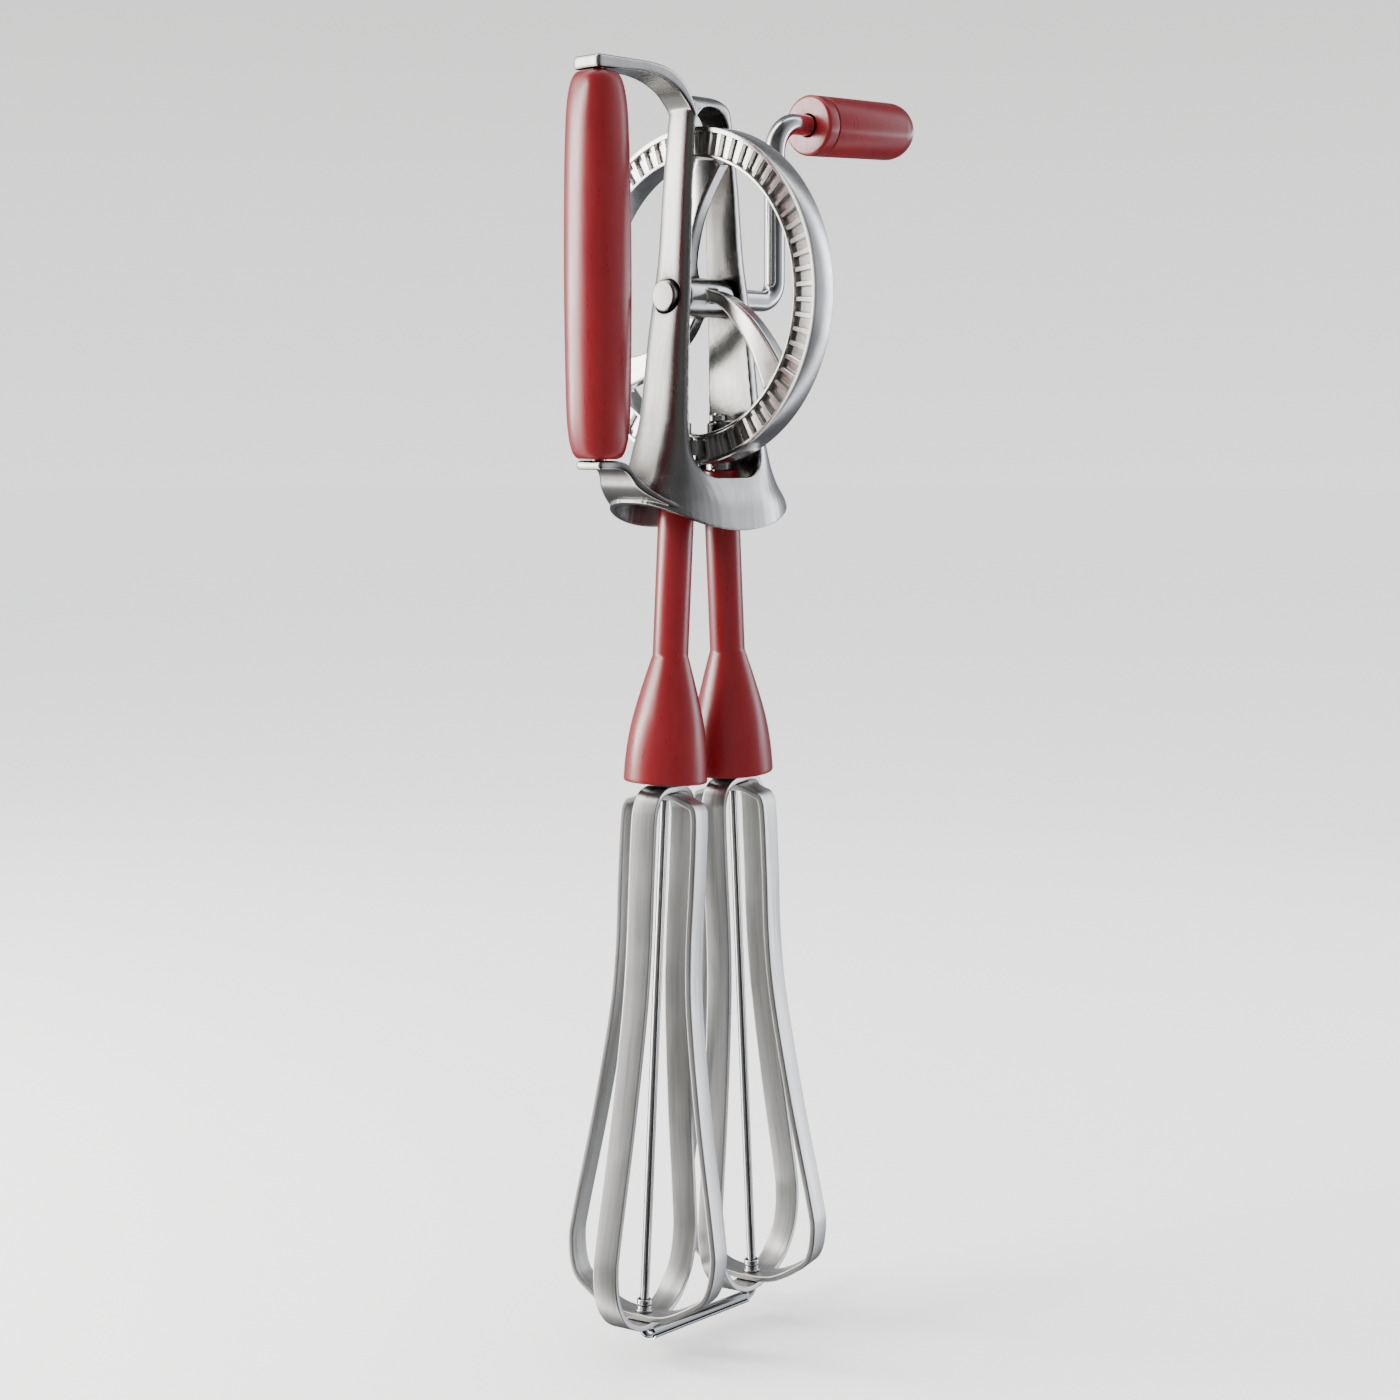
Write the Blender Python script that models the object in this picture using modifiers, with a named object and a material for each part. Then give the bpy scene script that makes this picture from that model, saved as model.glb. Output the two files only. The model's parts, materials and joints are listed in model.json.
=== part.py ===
"""Rotary egg beater: a hand-cranked wheel that turns two intermeshing beaters.

Sizes are in millimetres, measured from the wheel's centre: X runs along the
axle from the grip to the knob, Z is up.  Empties carry the moving bodies, and
everything is brought to metres when its mesh or curve is made.
"""

import math

import bmesh
import bpy
from mathutils import Matrix, Vector

MM = 0.001
GAP = 0.3  # clearance between neighbouring pieces

# Wheel and pinions: a crown gear whose bars are cut on both faces.
WHEEL_TEETH = 64
PINION_TEETH = 8
WHEEL_R = 42.0
WHEEL_HALF = 3.35
BORDER = 1.4
CHANNEL_OUT = WHEEL_R - BORDER
CHANNEL_IN = 35.3
RIM_IN = 34.4
WEB_HALF = 1.9
BAR_HALF = 3.0
BAR_WIDTH = 1.3
PITCH_ANGLE = 2.0 * math.pi / WHEEL_TEETH
PINION_TIP = 5.3
PINION_ROOT = 3.9
PINION_PITCH = 38.5 * PINION_TEETH / WHEEL_TEETH

# Axle and crank.
ROD_R = 2.7
BORE_R = ROD_R + GAP
HUB_R = 4.9
HUB_HALF = 7.9
HUB_PIN_R = 1.0
WASHER = 0.5
CRANK_X = 28.2
KNOB_START = Vector((41.0, 0.0, 46.3))
KNOB_TILT = math.radians(2.2)
KNOB_R = 7.85
KNOB_TIP_R = 7.6
KNOB_LENGTH = 39.8
COLLAR_LENGTH = 4.0

# Beater spindles, splayed in the plane Y = 0.
MESH_Z = -38.5
SPINDLE_X = 7.5
SPLAY = math.radians(3.38)
WIRE_R = 1.15
WIRE_BORE = WIRE_R + GAP
TUBE_R = 2.2
TUBE_BORE = 1.5
TUBE_SEAT = TUBE_R + 0.25
SLEEVE_R = 4.55
BRIDGE_Z = -266.5
BRIDGE_R = 1.65
VANE_PHASE = {"left": math.radians(16.0), "right": math.radians(13.0)}
VANE_WIDTH = 6.8
VANE_THICK = 1.6
LOOP_SPACING = VANE_THICK + 0.25

# Grip and the frame's arms.
GRIP_X = -35.3
GRIP_R = 7.65
GRIP_ROD_R = 1.9

# Stations along each arm: (X, Z) of its upper side, (X, Z) of its lower side,
# and half its width.
UPPER_ARM = (
    (-39.0, 55.6, -39.0, 52.3, 4.5),
    (-31.0, 55.6, -31.0, 52.7, 4.5),
    (-25.0, 55.6, -25.0, 52.9, 4.5),
    (-20.5, 55.5, -21.0, 52.7, 4.5),
    (-15.7, 54.9, -17.0, 51.9, 4.5),
    (-12.6, 53.8, -13.9, 50.8, 4.5),
    (-9.8, 52.1, -11.1, 49.3, 4.5),
    (-7.9, 50.1, -8.9, 47.4, 4.5),
    (-6.3, 47.5, -7.2, 45.6, 4.5),
    (-5.1, 44.8, -6.1, 43.9, 4.5),
)
LOWER_ARM = (
    (-39.0, -40.55, -39.0, -42.8, 4.5),
    (-34.0, -40.55, -34.0, -42.8, 4.5),
    (-31.2, -41.0, -31.8, -43.0, 5.1),
    (-29.3, -42.1, -30.3, -44.0, 5.7),
    (-28.1, -43.7, -29.3, -45.4, 6.3),
    (-27.2, -45.3, -28.4, -47.1, 7.0),
    (-25.9, -46.9, -26.8, -48.6, 8.0),
    (-24.2, -48.4, -24.7, -50.0, 9.3),
    (-21.6, -50.3, -21.9, -51.5, 10.9),
    (-18.4, -52.3, -18.2, -53.3, 12.8),
    (-16.6, -53.4, -16.4, -54.2, 13.8),
)

# Frame casting: (height, half length of the flat sides, half width, depth of
# the rounded front end, depth of the rear end, power of their superellipse).
# The slot for the wheel leaves the two ends as legs.
HORN = (
    (-60.0, 4.0, 16.2, 22.4, 22.4, 2.7),
    (-55.0, 4.0, 15.3, 21.7, 21.7, 2.7),
    (-51.0, 4.4, 14.5, 20.3, 20.3, 2.7),
    (-47.0, 6.0, 12.8, 16.2, 16.4, 2.65),
    (-43.0, 9.4, 11.1, 10.3, 11.2, 2.6),
    (-38.5, 12.2, 9.6, 5.8, 7.1, 2.5),
    (-33.0, 11.8, 8.4, 4.7, 6.1, 2.7),
    (-27.0, 11.3, 7.7, 4.0, 5.6, 2.9),
    (-11.0, 10.1, 6.8, 3.45, 5.2, 3.0),
    (0.0, 9.0, 6.1, 2.85, 5.0, 3.0),
    (10.0, 7.9, 5.4, 2.75, 4.7, 3.0),
    (26.0, 7.0, 4.9, 2.5, 4.1, 3.0),
    (40.0, 5.8, 4.5, 2.35, 3.5, 3.0),
    (45.0, 5.3, 4.3, 2.2, 3.1, 3.0),
)
HORN_TOP = 49.6
HORN_DOME = 45.0
HOLLOW_TOP = -33.5
WALL = 1.5
SKIRT_R = 45.7
SKIRT_Z = -12.5
SLOT_BOTTOM = -45.0
SLOT_ARCH = 40.5
SLOT_TOP = 46.8
SPOT_FACE_X = -11.1
SPOT_FACE_R = 4.3
LUG_Z = (-34.4, -31.4)
LUG_HALF = 3.0
LUG_END = 15.6

AXLE = Vector((-(KNOB_START.x + KNOB_LENGTH + GRIP_X - GRIP_R) / 2.0, 0.0, BRIDGE_R - BRIDGE_Z))

FINISHES = {
    "cast_metal": ((0.62, 0.62, 0.61), 1.0, 0.32),
    "wheel_metal": ((0.68, 0.68, 0.67), 1.0, 0.30),
    "rod_metal": ((0.72, 0.72, 0.72), 1.0, 0.18),
    "blade_steel": ((0.55, 0.55, 0.54), 1.0, 0.38),
    "red_plastic": ((0.30, 0.016, 0.022), 0.0, 0.35),
}


# ---------------------------------------------------------------- scene set-up

def clear_scene():
    for obj in list(bpy.data.objects):
        bpy.data.objects.remove(obj, do_unlink=True)


def make_collection(name):
    collection = bpy.data.collections.new(name)
    bpy.context.scene.collection.children.link(collection)
    return collection


def make_material(name, finish):
    colour, metallic, roughness = FINISHES[finish]
    material = bpy.data.materials.new(name + "_finish")
    material.use_nodes = True
    shader = material.node_tree.nodes["Principled BSDF"]
    shader.inputs["Base Color"].default_value = (*colour, 1.0)
    shader.inputs["Metallic"].default_value = metallic
    shader.inputs["Roughness"].default_value = roughness
    return material


clear_scene()
PARTS = make_collection("rotary_egg_beater")
CUTTERS = make_collection("cutters")


def make_empty(name, location, tilt=0.0, parent=None):
    """Empty at a place in millimetres, turned about Y."""
    empty = bpy.data.objects.new(name, None)
    empty.location = Vector(location) * MM
    empty.rotation_euler = (0.0, tilt, 0.0)
    empty.parent = parent
    empty.empty_display_size = 0.01
    PARTS.objects.link(empty)
    return empty


def add_part(name, data, finish, parent):
    obj = bpy.data.objects.new(name, data)
    obj.parent = parent
    data.materials.append(make_material(name, finish))
    PARTS.objects.link(obj)
    return obj


def add_tool(name, data, parent):
    """Helper solid that a Boolean joins, cuts away or keeps."""
    obj = bpy.data.objects.new(name, data)
    obj.parent = parent
    obj.hide_render = True
    obj.display_type = "WIRE"
    CUTTERS.objects.link(obj)
    return obj


def boolean(obj, tool, operation):
    modifier = obj.modifiers.new(tool.name, "BOOLEAN")
    modifier.operation = operation
    modifier.solver = "EXACT"
    modifier.object = tool


def bevel(obj, width, segments=2, angle=35.0):
    modifier = obj.modifiers.new("Edges", "BEVEL")
    modifier.width = width * MM
    modifier.segments = segments
    modifier.limit_method = "ANGLE"
    modifier.angle_limit = math.radians(angle)
    return modifier


# -------------------------------------------------------------- mesh builders

def finish_mesh(name, bm):
    """Turn a bmesh in millimetres into a mesh in metres with outward faces."""
    bmesh.ops.recalc_face_normals(bm, faces=bm.faces)
    bmesh.ops.scale(bm, vec=(MM, MM, MM), verts=bm.verts)
    mesh = bpy.data.meshes.new(name)
    bm.to_mesh(mesh)
    bm.free()
    return mesh


def cylinder_mesh(name, radius, start, end, segments=40):
    """Cylinder between two points."""
    start, end = Vector(start), Vector(end)
    axis = end - start
    turn = axis.to_track_quat("Z", "Y").to_matrix().to_4x4()
    bm = bmesh.new()
    bmesh.ops.create_cone(
        bm,
        cap_ends=True,
        segments=segments,
        radius1=radius,
        radius2=radius,
        depth=axis.length,
        matrix=Matrix.Translation((start + end) / 2.0) @ turn,
    )
    return finish_mesh(name, bm)


def box_mesh(name, lowest, highest):
    bm = bmesh.new()
    size = Vector(highest) - Vector(lowest)
    centre = (Vector(highest) + Vector(lowest)) / 2.0
    bmesh.ops.create_cube(bm, size=1.0, matrix=Matrix.Translation(centre) @ Matrix.Diagonal((*size, 1.0)))
    return finish_mesh(name, bm)


def prism_mesh(name, outline, depth, place=Matrix.Identity(4)):
    """Flat outline in local XY, extruded by depth about its own plane."""
    bm = bmesh.new()
    ring = [bm.verts.new((x, y, -depth / 2.0)) for x, y in outline]
    face = bm.faces.new(ring)
    grown = bmesh.ops.extrude_face_region(bm, geom=[face])["geom"]
    raised = [item for item in grown if isinstance(item, bmesh.types.BMVert)]
    bmesh.ops.translate(bm, vec=(0.0, 0.0, depth), verts=raised)
    bmesh.ops.transform(bm, matrix=place, verts=bm.verts)
    return finish_mesh(name, bm)


def loft_mesh(name, rings):
    """Skin over rings with equal point counts, closed at both ends."""
    bm = bmesh.new()
    rows = [[bm.verts.new(point) for point in ring] for ring in rings]
    count = len(rows[0])
    for lower, upper in zip(rows, rows[1:]):
        for i in range(count):
            j = (i + 1) % count
            bm.faces.new((lower[i], lower[j], upper[j], upper[i]))
    bmesh.ops.triangulate(bm, faces=bm.faces)
    bm.faces.new(list(reversed(rows[0])))
    bm.faces.new(rows[-1])
    return finish_mesh(name, bm)


def lathe(name, profile, finish, parent, segments=40):
    """Turned part about local Z from (radius, height) points.

    The points run down the outer side.  A profile that leaves the axis is
    closed, which gives the part its bore.
    """
    mesh = bpy.data.meshes.new(name)
    points = [(radius * MM, 0.0, height * MM) for radius, height in profile]
    edges = [(i, i + 1) for i in range(len(points) - 1)]
    if profile[0][0] > 0.0:
        edges.append((len(points) - 1, 0))
    mesh.from_pydata(points, edges, [])
    obj = add_part(name, mesh, finish, parent)
    screw = obj.modifiers.new("Turn", "SCREW")
    screw.axis = "Z"
    screw.steps = segments
    screw.render_steps = segments
    screw.use_merge_vertices = True
    screw.merge_threshold = 1e-6
    return obj


def ring(name, outer, inner, bottom, top, finish, parent, edge=0.0, segments=24):
    """Plain ring or washer with optional chamfers on its outer edges."""
    profile = [(outer, top - edge), (outer, bottom + edge)]
    if edge > 0.0:
        profile = [(outer - edge, top)] + profile + [(outer - edge, bottom)]
    profile += [(inner, bottom), (inner, top)]
    return lathe(name, profile, finish, parent, segments)


def round_rod(name, corners, radii, thickness, finish, parent, sides=3):
    """Round rod along a bent line; each inner corner has its bend radius."""
    curve = bpy.data.curves.new(name, "CURVE")
    curve.dimensions = "3D"
    curve.bevel_depth = thickness * MM
    curve.bevel_resolution = sides
    curve.use_fill_caps = True
    path = bent_line(corners, radii)
    spline = curve.splines.new("POLY")
    spline.points.add(len(path) - 1)
    for slot, point in zip(spline.points, path):
        slot.co = (*(point * MM), 1.0)
    return add_part(name, curve, finish, parent)


# ------------------------------------------------------------ outlines, paths

def arc(centre, radius, start, end, steps):
    """Points on an arc in a plane; angles in degrees."""
    points = []
    for i in range(steps + 1):
        angle = math.radians(start + (end - start) * i / steps)
        points.append((centre[0] + radius * math.cos(angle), centre[1] + radius * math.sin(angle)))
    return points


def bent_line(corners, radii, steps=8):
    """Line through corners with each inner corner rounded to its radius."""
    corners = [Vector(corner) for corner in corners]
    path = [corners[0]]
    for before, corner, after, radius in zip(corners, corners[1:], corners[2:], radii):
        into = (corner - before).normalized()
        away = (after - corner).normalized()
        bend = into.angle(away)
        start = corner - into * radius * math.tan(bend / 2.0)
        side = (away - into * into.dot(away)).normalized()
        for i in range(steps + 1):
            turn = bend * i / steps
            path.append(start + into * radius * math.sin(turn) + side * radius * (1.0 - math.cos(turn)))
    path.append(corners[-1])
    return path


def smooth_line(knots, steps):
    """Catmull-Rom points through the knots, each knot a tuple of numbers."""
    padded = [knots[0], *knots, knots[-1]]
    points = []
    for a, b, c, d in zip(padded, padded[1:], padded[2:], padded[3:]):
        for i in range(steps):
            t = i / steps
            points.append(tuple(catmull_rom(pa, pb, pc, pd, t) for pa, pb, pc, pd in zip(a, b, c, d)))
    points.append(tuple(knots[-1]))
    return points


def catmull_rom(a, b, c, d, t):
    slope_in = (c - a) / 2.0
    slope_out = (d - b) / 2.0
    cube = 2.0 * (b - c) + slope_in + slope_out
    square = 3.0 * (c - b) - 2.0 * slope_in - slope_out
    return ((cube * t + square) * t + slope_in) * t + b


def spindle_at(height, side):
    """Point on a beater's axis at a height above the wheel's centre."""
    sign = -1.0 if side == "left" else 1.0
    return Vector((sign * (SPINDLE_X + (MESH_Z - height) * math.tan(SPLAY)), 0.0, height))


# ---------------------------------------------------------------------- frame

def horn_rings(inset, arc_steps=7):
    """Sections of the cast horn, shrunk by the inset."""
    rings = []
    levels = smooth_line(HORN, 2)
    for height, flat, width, front, rear, power in levels:
        depths = (rear - inset, front - inset)
        rings.append(stadium(flat, width - inset, depths, height, power, arc_steps))
    flat, width, front, rear, power = levels[-1][1:]
    dome = HORN_TOP - HORN_DOME - inset
    for i in range(1, 6):
        angle = math.radians(85.0 * i / 5)
        shrink = math.cos(angle)
        reach = flat * (0.35 + 0.65 * shrink)
        depths = ((rear - inset) * shrink, (front - inset) * shrink)
        height = HORN_DOME + dome * math.sin(angle)
        rings.append(stadium(reach, (width - inset) * shrink, depths, height, power, arc_steps))
    return rings


def crown_hollow():
    """Hollow of the flared crown, open below."""
    rings = horn_rings(WALL)
    inside = [ring for ring in rings if ring[0][2] < HOLLOW_TOP]
    floor = [(x, y, z - 1.0) for x, y, z in rings[0]]
    ceiling = [(x, y, HOLLOW_TOP) for x, y, z in rings[len(inside)]]
    return [floor] + inside + [ceiling]


def stadium(flat, width, depths, height, power, arc_steps):
    """Outline with flat sides along X and superelliptical ends."""
    points = []
    for sign, start, depth in ((1.0, -90.0, depths[0]), (-1.0, 90.0, depths[1])):
        for i in range(arc_steps + 1):
            across, along = superellipse(math.radians(start + 180.0 * i / arc_steps), power)
            points.append((sign * flat + depth * across, width * along, height))
    return points


def superellipse(angle, power):
    """Point of a unit superellipse; a power of 2 gives a circle."""
    cosine, sine = math.cos(angle), math.sin(angle)
    x = math.copysign(abs(cosine) ** (2.0 / power), cosine)
    y = math.copysign(abs(sine) ** (2.0 / power), sine)
    return x, y


def slot_outline():
    """Wheel slot in the XZ plane: rounded bottom, leg faces, arched top."""
    margin = 0.2
    levels = [level for level in smooth_line(HORN, 2) if -38.0 < level[0] < SLOT_ARCH]
    foot = levels[0][1] + margin
    corner = abs(SLOT_BOTTOM - levels[0][0])
    side = arc((foot - corner, SLOT_BOTTOM + corner), corner, -90.0, 0.0, 8)
    side += [(level[1] + margin, level[0]) for level in levels[1:]]
    reach = side[-1][0]
    for i in range(1, 8):
        angle = math.radians(90.0 * i / 8)
        side.append((reach * math.cos(angle), SLOT_ARCH + (SLOT_TOP - SLOT_ARCH) * math.sin(angle)))
    side.append((0.0, SLOT_TOP))
    mirrored = [(-x, z) for x, z in reversed(side[:-1])]
    return side + mirrored


def arm_rings(stations, chamfer=0.6):
    """Sections of an arm, each a rectangle with small chamfers."""
    rings = []
    for upper_x, upper_z, lower_x, lower_z, half in smooth_line(stations, 2):
        upper = Vector((upper_x, 0.0, upper_z))
        lower = Vector((lower_x, 0.0, lower_z))
        cut = min(chamfer, 0.3 * (upper - lower).length)
        step = (upper - lower).normalized() * cut
        corners = []
        for point, side in (
            (upper, half - cut), (upper - step, half), (lower + step, half), (lower, half - cut),
            (lower, cut - half), (lower + step, -half), (upper - step, -half), (upper, cut - half),
        ):
            corners.append((point.x, side, point.z))
        rings.append(corners)
    return rings


def side_plane():
    """Local XY to world XZ, so outlines drawn from the side stand upright."""
    return Matrix.Rotation(math.radians(90.0), 4, "X")


def make_frame(axle):
    horn = add_part("frame_casting", loft_mesh("frame_casting", horn_rings(0.0)), "cast_metal", axle)
    skirt = cylinder_mesh("keep_skirt", SKIRT_R, (0.0, -30.0, SKIRT_Z), (0.0, 30.0, SKIRT_Z), 96)
    skirt_tool = add_tool("keep_skirt", skirt, axle)
    above = add_tool("keep_above", box_mesh("keep_above", (-40, -30, SKIRT_Z), (40, 30, 60)), axle)
    boolean(skirt_tool, above, "UNION")
    boolean(horn, skirt_tool, "INTERSECT")
    for name, stations in (("add_upper_arm", UPPER_ARM), ("add_lower_arm", LOWER_ARM)):
        boolean(horn, add_tool(name, loft_mesh(name, arm_rings(stations)), axle), "UNION")
    boolean(horn, add_tool("cut_hollow", loft_mesh("cut_hollow", crown_hollow()), axle), "DIFFERENCE")
    slot = prism_mesh("cut_slot", slot_outline(), 60.0, side_plane())
    boolean(horn, add_tool("cut_slot", slot, axle), "DIFFERENCE")
    add_rod_holes(horn, axle)
    add_bosses(horn, axle)
    add_lugs(horn, axle)


def add_rod_holes(horn, axle):
    """Holes for the grip rod in the ends of both arms."""
    for name, arm in (("cut_upper_hole", UPPER_ARM), ("cut_lower_hole", LOWER_ARM)):
        low, high = arm[0][3], arm[0][1]
        start, end = (GRIP_X, 0.0, low - 2.0), (GRIP_X, 0.0, high + 2.0)
        hole = cylinder_mesh(name, GRIP_ROD_R + GAP, start, end, 24)
        boolean(horn, add_tool(name, hole, axle), "DIFFERENCE")


def add_bosses(horn, axle):
    """Solid seats for the axle inside both legs, and the seat for its cap."""
    envelope = add_tool("keep_envelope", loft_mesh("keep_envelope", horn_rings(0.1)), axle)
    face = HUB_HALF + 2.0 * GAP + WASHER
    for sign, name in ((-1.0, "front"), (1.0, "rear")):
        boss = cylinder_mesh(name, SPOT_FACE_R + 0.3, (sign * face, 0, 0), (sign * 20.0, 0, 0), 32)
        tool = add_tool("add_boss_" + name, boss, axle)
        boolean(tool, envelope, "INTERSECT")
        boolean(horn, tool, "UNION")
    bore = cylinder_mesh("cut_axle", BORE_R, (-25.0, 0, 0), (25.0, 0, 0), 32)
    boolean(horn, add_tool("cut_axle", bore, axle), "DIFFERENCE")
    seat = cylinder_mesh("cut_cap_seat", SPOT_FACE_R, (-25.0, 0, 0), (SPOT_FACE_X, 0, 0), 32)
    boolean(horn, add_tool("cut_cap_seat", seat, axle), "DIFFERENCE")


def add_lugs(horn, axle):
    """Lugs inside the legs that carry the fixed spindles."""
    low, high = LUG_Z
    for sign, side in ((-1.0, "left"), (1.0, "right")):
        tip = spindle_at((low + high) / 2.0, side)
        outline = arc((abs(tip.x), 0.0), LUG_HALF, 90.0, 270.0, 10)
        outline += [(LUG_END, -LUG_HALF), (LUG_END, LUG_HALF)]
        place = Matrix.Translation((0.0, 0.0, tip.z))
        lug = prism_mesh("lug", [(sign * x, y) for x, y in outline], high - low, place)
        boolean(horn, add_tool("add_lug_" + side, lug, axle), "UNION")
        bore = cylinder_mesh("bore", WIRE_BORE, spindle_at(low - 3.0, side), spindle_at(high + 3.0, side), 20)
        boolean(horn, add_tool("cut_spindle_" + side, bore, axle), "DIFFERENCE")


def make_grip(axle):
    """Barrel grip of rounded square section, and the rod through it."""
    stations = (
        (-40.25, 4.3), (-39.7, 5.3), (-38.0, 6.2), (-34.0, 6.95), (-27.0, 7.35),
        (-10.0, 7.6), (8.0, GRIP_R), (28.0, 7.45), (39.5, 7.1), (44.3, 6.8),
        (47.5, 6.35), (49.8, 5.8), (51.2, 5.1), (51.8, 4.5), (52.0, 3.9),
    )
    rings = []
    for height, half in stations:
        rings.append([(x + GRIP_X, y, height) for x, y in rounded_square(half)])
    grip = add_part("grip", loft_mesh("grip", rings), "red_plastic", axle)
    bore = cylinder_mesh("cut_grip", GRIP_ROD_R + GAP, (GRIP_X, 0, -50), (GRIP_X, 0, 60), 24)
    boolean(grip, add_tool("cut_grip", bore, axle), "DIFFERENCE")
    ends = (LOWER_ARM[0][3] + 0.2, UPPER_ARM[0][1] - 0.2)
    rod = cylinder_mesh("grip_rod", GRIP_ROD_R, (GRIP_X, 0, ends[0]), (GRIP_X, 0, ends[1]), 24)
    add_part("grip_rod", rod, "rod_metal", axle)


def rounded_square(half, power=2.5, count=28):
    """Superellipse outline about the grip's axis."""
    outline = [superellipse(2.0 * math.pi * i / count, power) for i in range(count)]
    return [(half * x, half * y) for x, y in outline]


def make_spindles(axle):
    """One wire bent into a U, with the pieces that are fixed on it."""
    top = LUG_Z[1] + GAP + 2.2
    corners = (
        spindle_at(top, "left"),
        spindle_at(BRIDGE_Z, "left"),
        spindle_at(BRIDGE_Z, "right"),
        spindle_at(top, "right"),
    )
    round_rod("spindle_wire", corners, (2.6, 2.6), WIRE_R, "rod_metal", axle)
    reach = corners[2].x - 3.0
    holder = make_empty("bridge", (0.0, 0.0, BRIDGE_Z), math.radians(90.0), axle)
    ring("bridge_sleeve", BRIDGE_R, 1.35, -reach, reach, "rod_metal", holder, 0.0, 20)


# ---------------------------------------------------------------------- drive

def make_wheel(drive):
    """Toothed wheel about the drive empty's Z, with its gap at local +X."""
    half, web = WHEEL_HALF, WEB_HALF
    profile = [
        (WHEEL_R, half), (WHEEL_R, -half), (CHANNEL_OUT, -half), (CHANNEL_OUT, -web),
        (CHANNEL_IN, -web), (CHANNEL_IN, -half), (RIM_IN, -half), (RIM_IN, half),
        (CHANNEL_IN, half), (CHANNEL_IN, web), (CHANNEL_OUT, web), (CHANNEL_OUT, half),
    ]
    wheel = lathe("drive_wheel", profile, "wheel_metal", drive, WHEEL_TEETH)
    boolean(wheel, add_tool("add_bars", bars_mesh(), drive), "UNION")
    for angle in (0.0, 108.0, 240.0):
        name = "add_spoke_%d" % angle
        place = Matrix.Rotation(math.radians(angle), 4, "Z")
        spoke = add_tool(name, prism_mesh(name, spoke_outline(), 3.6, place), drive)
        bevel(spoke, 0.5)
        boolean(wheel, spoke, "UNION")
    hub = cylinder_mesh("add_hub", HUB_R, (0, 0, -HUB_HALF), (0, 0, HUB_HALF), 40)
    boolean(wheel, add_tool("add_hub", hub, drive), "UNION")
    bore = cylinder_mesh("cut_hub", BORE_R, (0, 0, -15.0), (0, 0, 15.0), 32)
    boolean(wheel, add_tool("cut_hub", bore, drive), "DIFFERENCE")
    return wheel


def bars_mesh():
    """Radial bars through the web, seen as teeth on both faces."""
    bm = bmesh.new()
    middle = (CHANNEL_IN + CHANNEL_OUT) / 2.0
    length = CHANNEL_OUT - CHANNEL_IN + 0.5
    size = Matrix.Diagonal((length, BAR_WIDTH, 2.0 * BAR_HALF, 1.0))
    for tooth in range(WHEEL_TEETH):
        turn = Matrix.Rotation((tooth + 0.5) * PITCH_ANGLE, 4, "Z")
        bmesh.ops.create_cube(bm, size=1.0, matrix=turn @ Matrix.Translation((middle, 0, 0)) @ size)
    return finish_mesh("add_bars", bm)


def spoke_outline():
    """Curved spoke that widens from the hub to the rim.

    Drawn in the wheel's local XY, where +X is down and +Y is away from the
    viewer's right.
    """
    knots = ((-1.0, 1.0, 3.4), (0.6, -8.0, 3.2), (5.6, -15.6, 4.9), (12.0, -21.4, 6.2), (21.4, -27.2, 8.4))
    spine = smooth_line(knots, 4)
    left, right = [], []
    for i, (x, y, width) in enumerate(spine):
        before = spine[max(i - 1, 0)]
        after = spine[min(i + 1, len(spine) - 1)]
        along = Vector((after[0] - before[0], after[1] - before[1])).normalized()
        left.append((x - along.y * width / 2.0, y + along.x * width / 2.0))
        right.append((x + along.y * width / 2.0, y - along.x * width / 2.0))
    return left + list(reversed(right))


def make_crank(axle, drive):
    """Axle and crank arm in one bent rod, with the wheel's pin through it."""
    direction = Vector((math.cos(KNOB_TILT), 0.0, math.sin(KNOB_TILT)))
    rise = (KNOB_START.x - CRANK_X) * math.tan(KNOB_TILT)
    corners = (
        (SPOT_FACE_X, 0.0, 0.0),
        (CRANK_X, 0.0, 0.0),
        (CRANK_X, 0.0, KNOB_START.z - rise),
        KNOB_START + direction * 29.5,
    )
    rod = round_rod("crank_rod", corners, (5.2, 8.0), ROD_R, "rod_metal", axle, 5)
    mesh = curve_to_mesh(rod)
    place = (5.2, 0.0, 0.0)
    hole = cylinder_mesh("cut_pin", HUB_PIN_R + 0.25, (place[0], 0, -9.0), (place[0], 0, 9.0), 16)
    tool = add_tool("cut_pin", hole, axle)
    boolean(mesh, tool, "DIFFERENCE")
    boolean(bpy.data.objects["drive_wheel"], tool, "DIFFERENCE")
    pin = cylinder_mesh("hub_pin", HUB_PIN_R, (0, 0, -HUB_R + 0.2), (0, 0, HUB_R - 0.2), 16)
    add_part("hub_pin", pin, "rod_metal", make_empty("pin_place", place, 0.0, axle))
    lathe(
        "axle_cap",
        [(0.0, 1.8), (3.6, 1.8), (3.95, 1.45), (3.95, 0.0), (0.0, 0.0)],
        "rod_metal",
        make_empty("cap_place", (SPOT_FACE_X - GAP, 0.0, 0.0), math.radians(-90.0), axle),
        32,
    )
    start = HUB_HALF + GAP
    ring("front_hub_washer", 3.9, BORE_R, -start - WASHER, -start, "rod_metal", drive)
    ring("rear_hub_washer", 3.9, BORE_R, start, start + WASHER, "rod_metal", drive)


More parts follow.
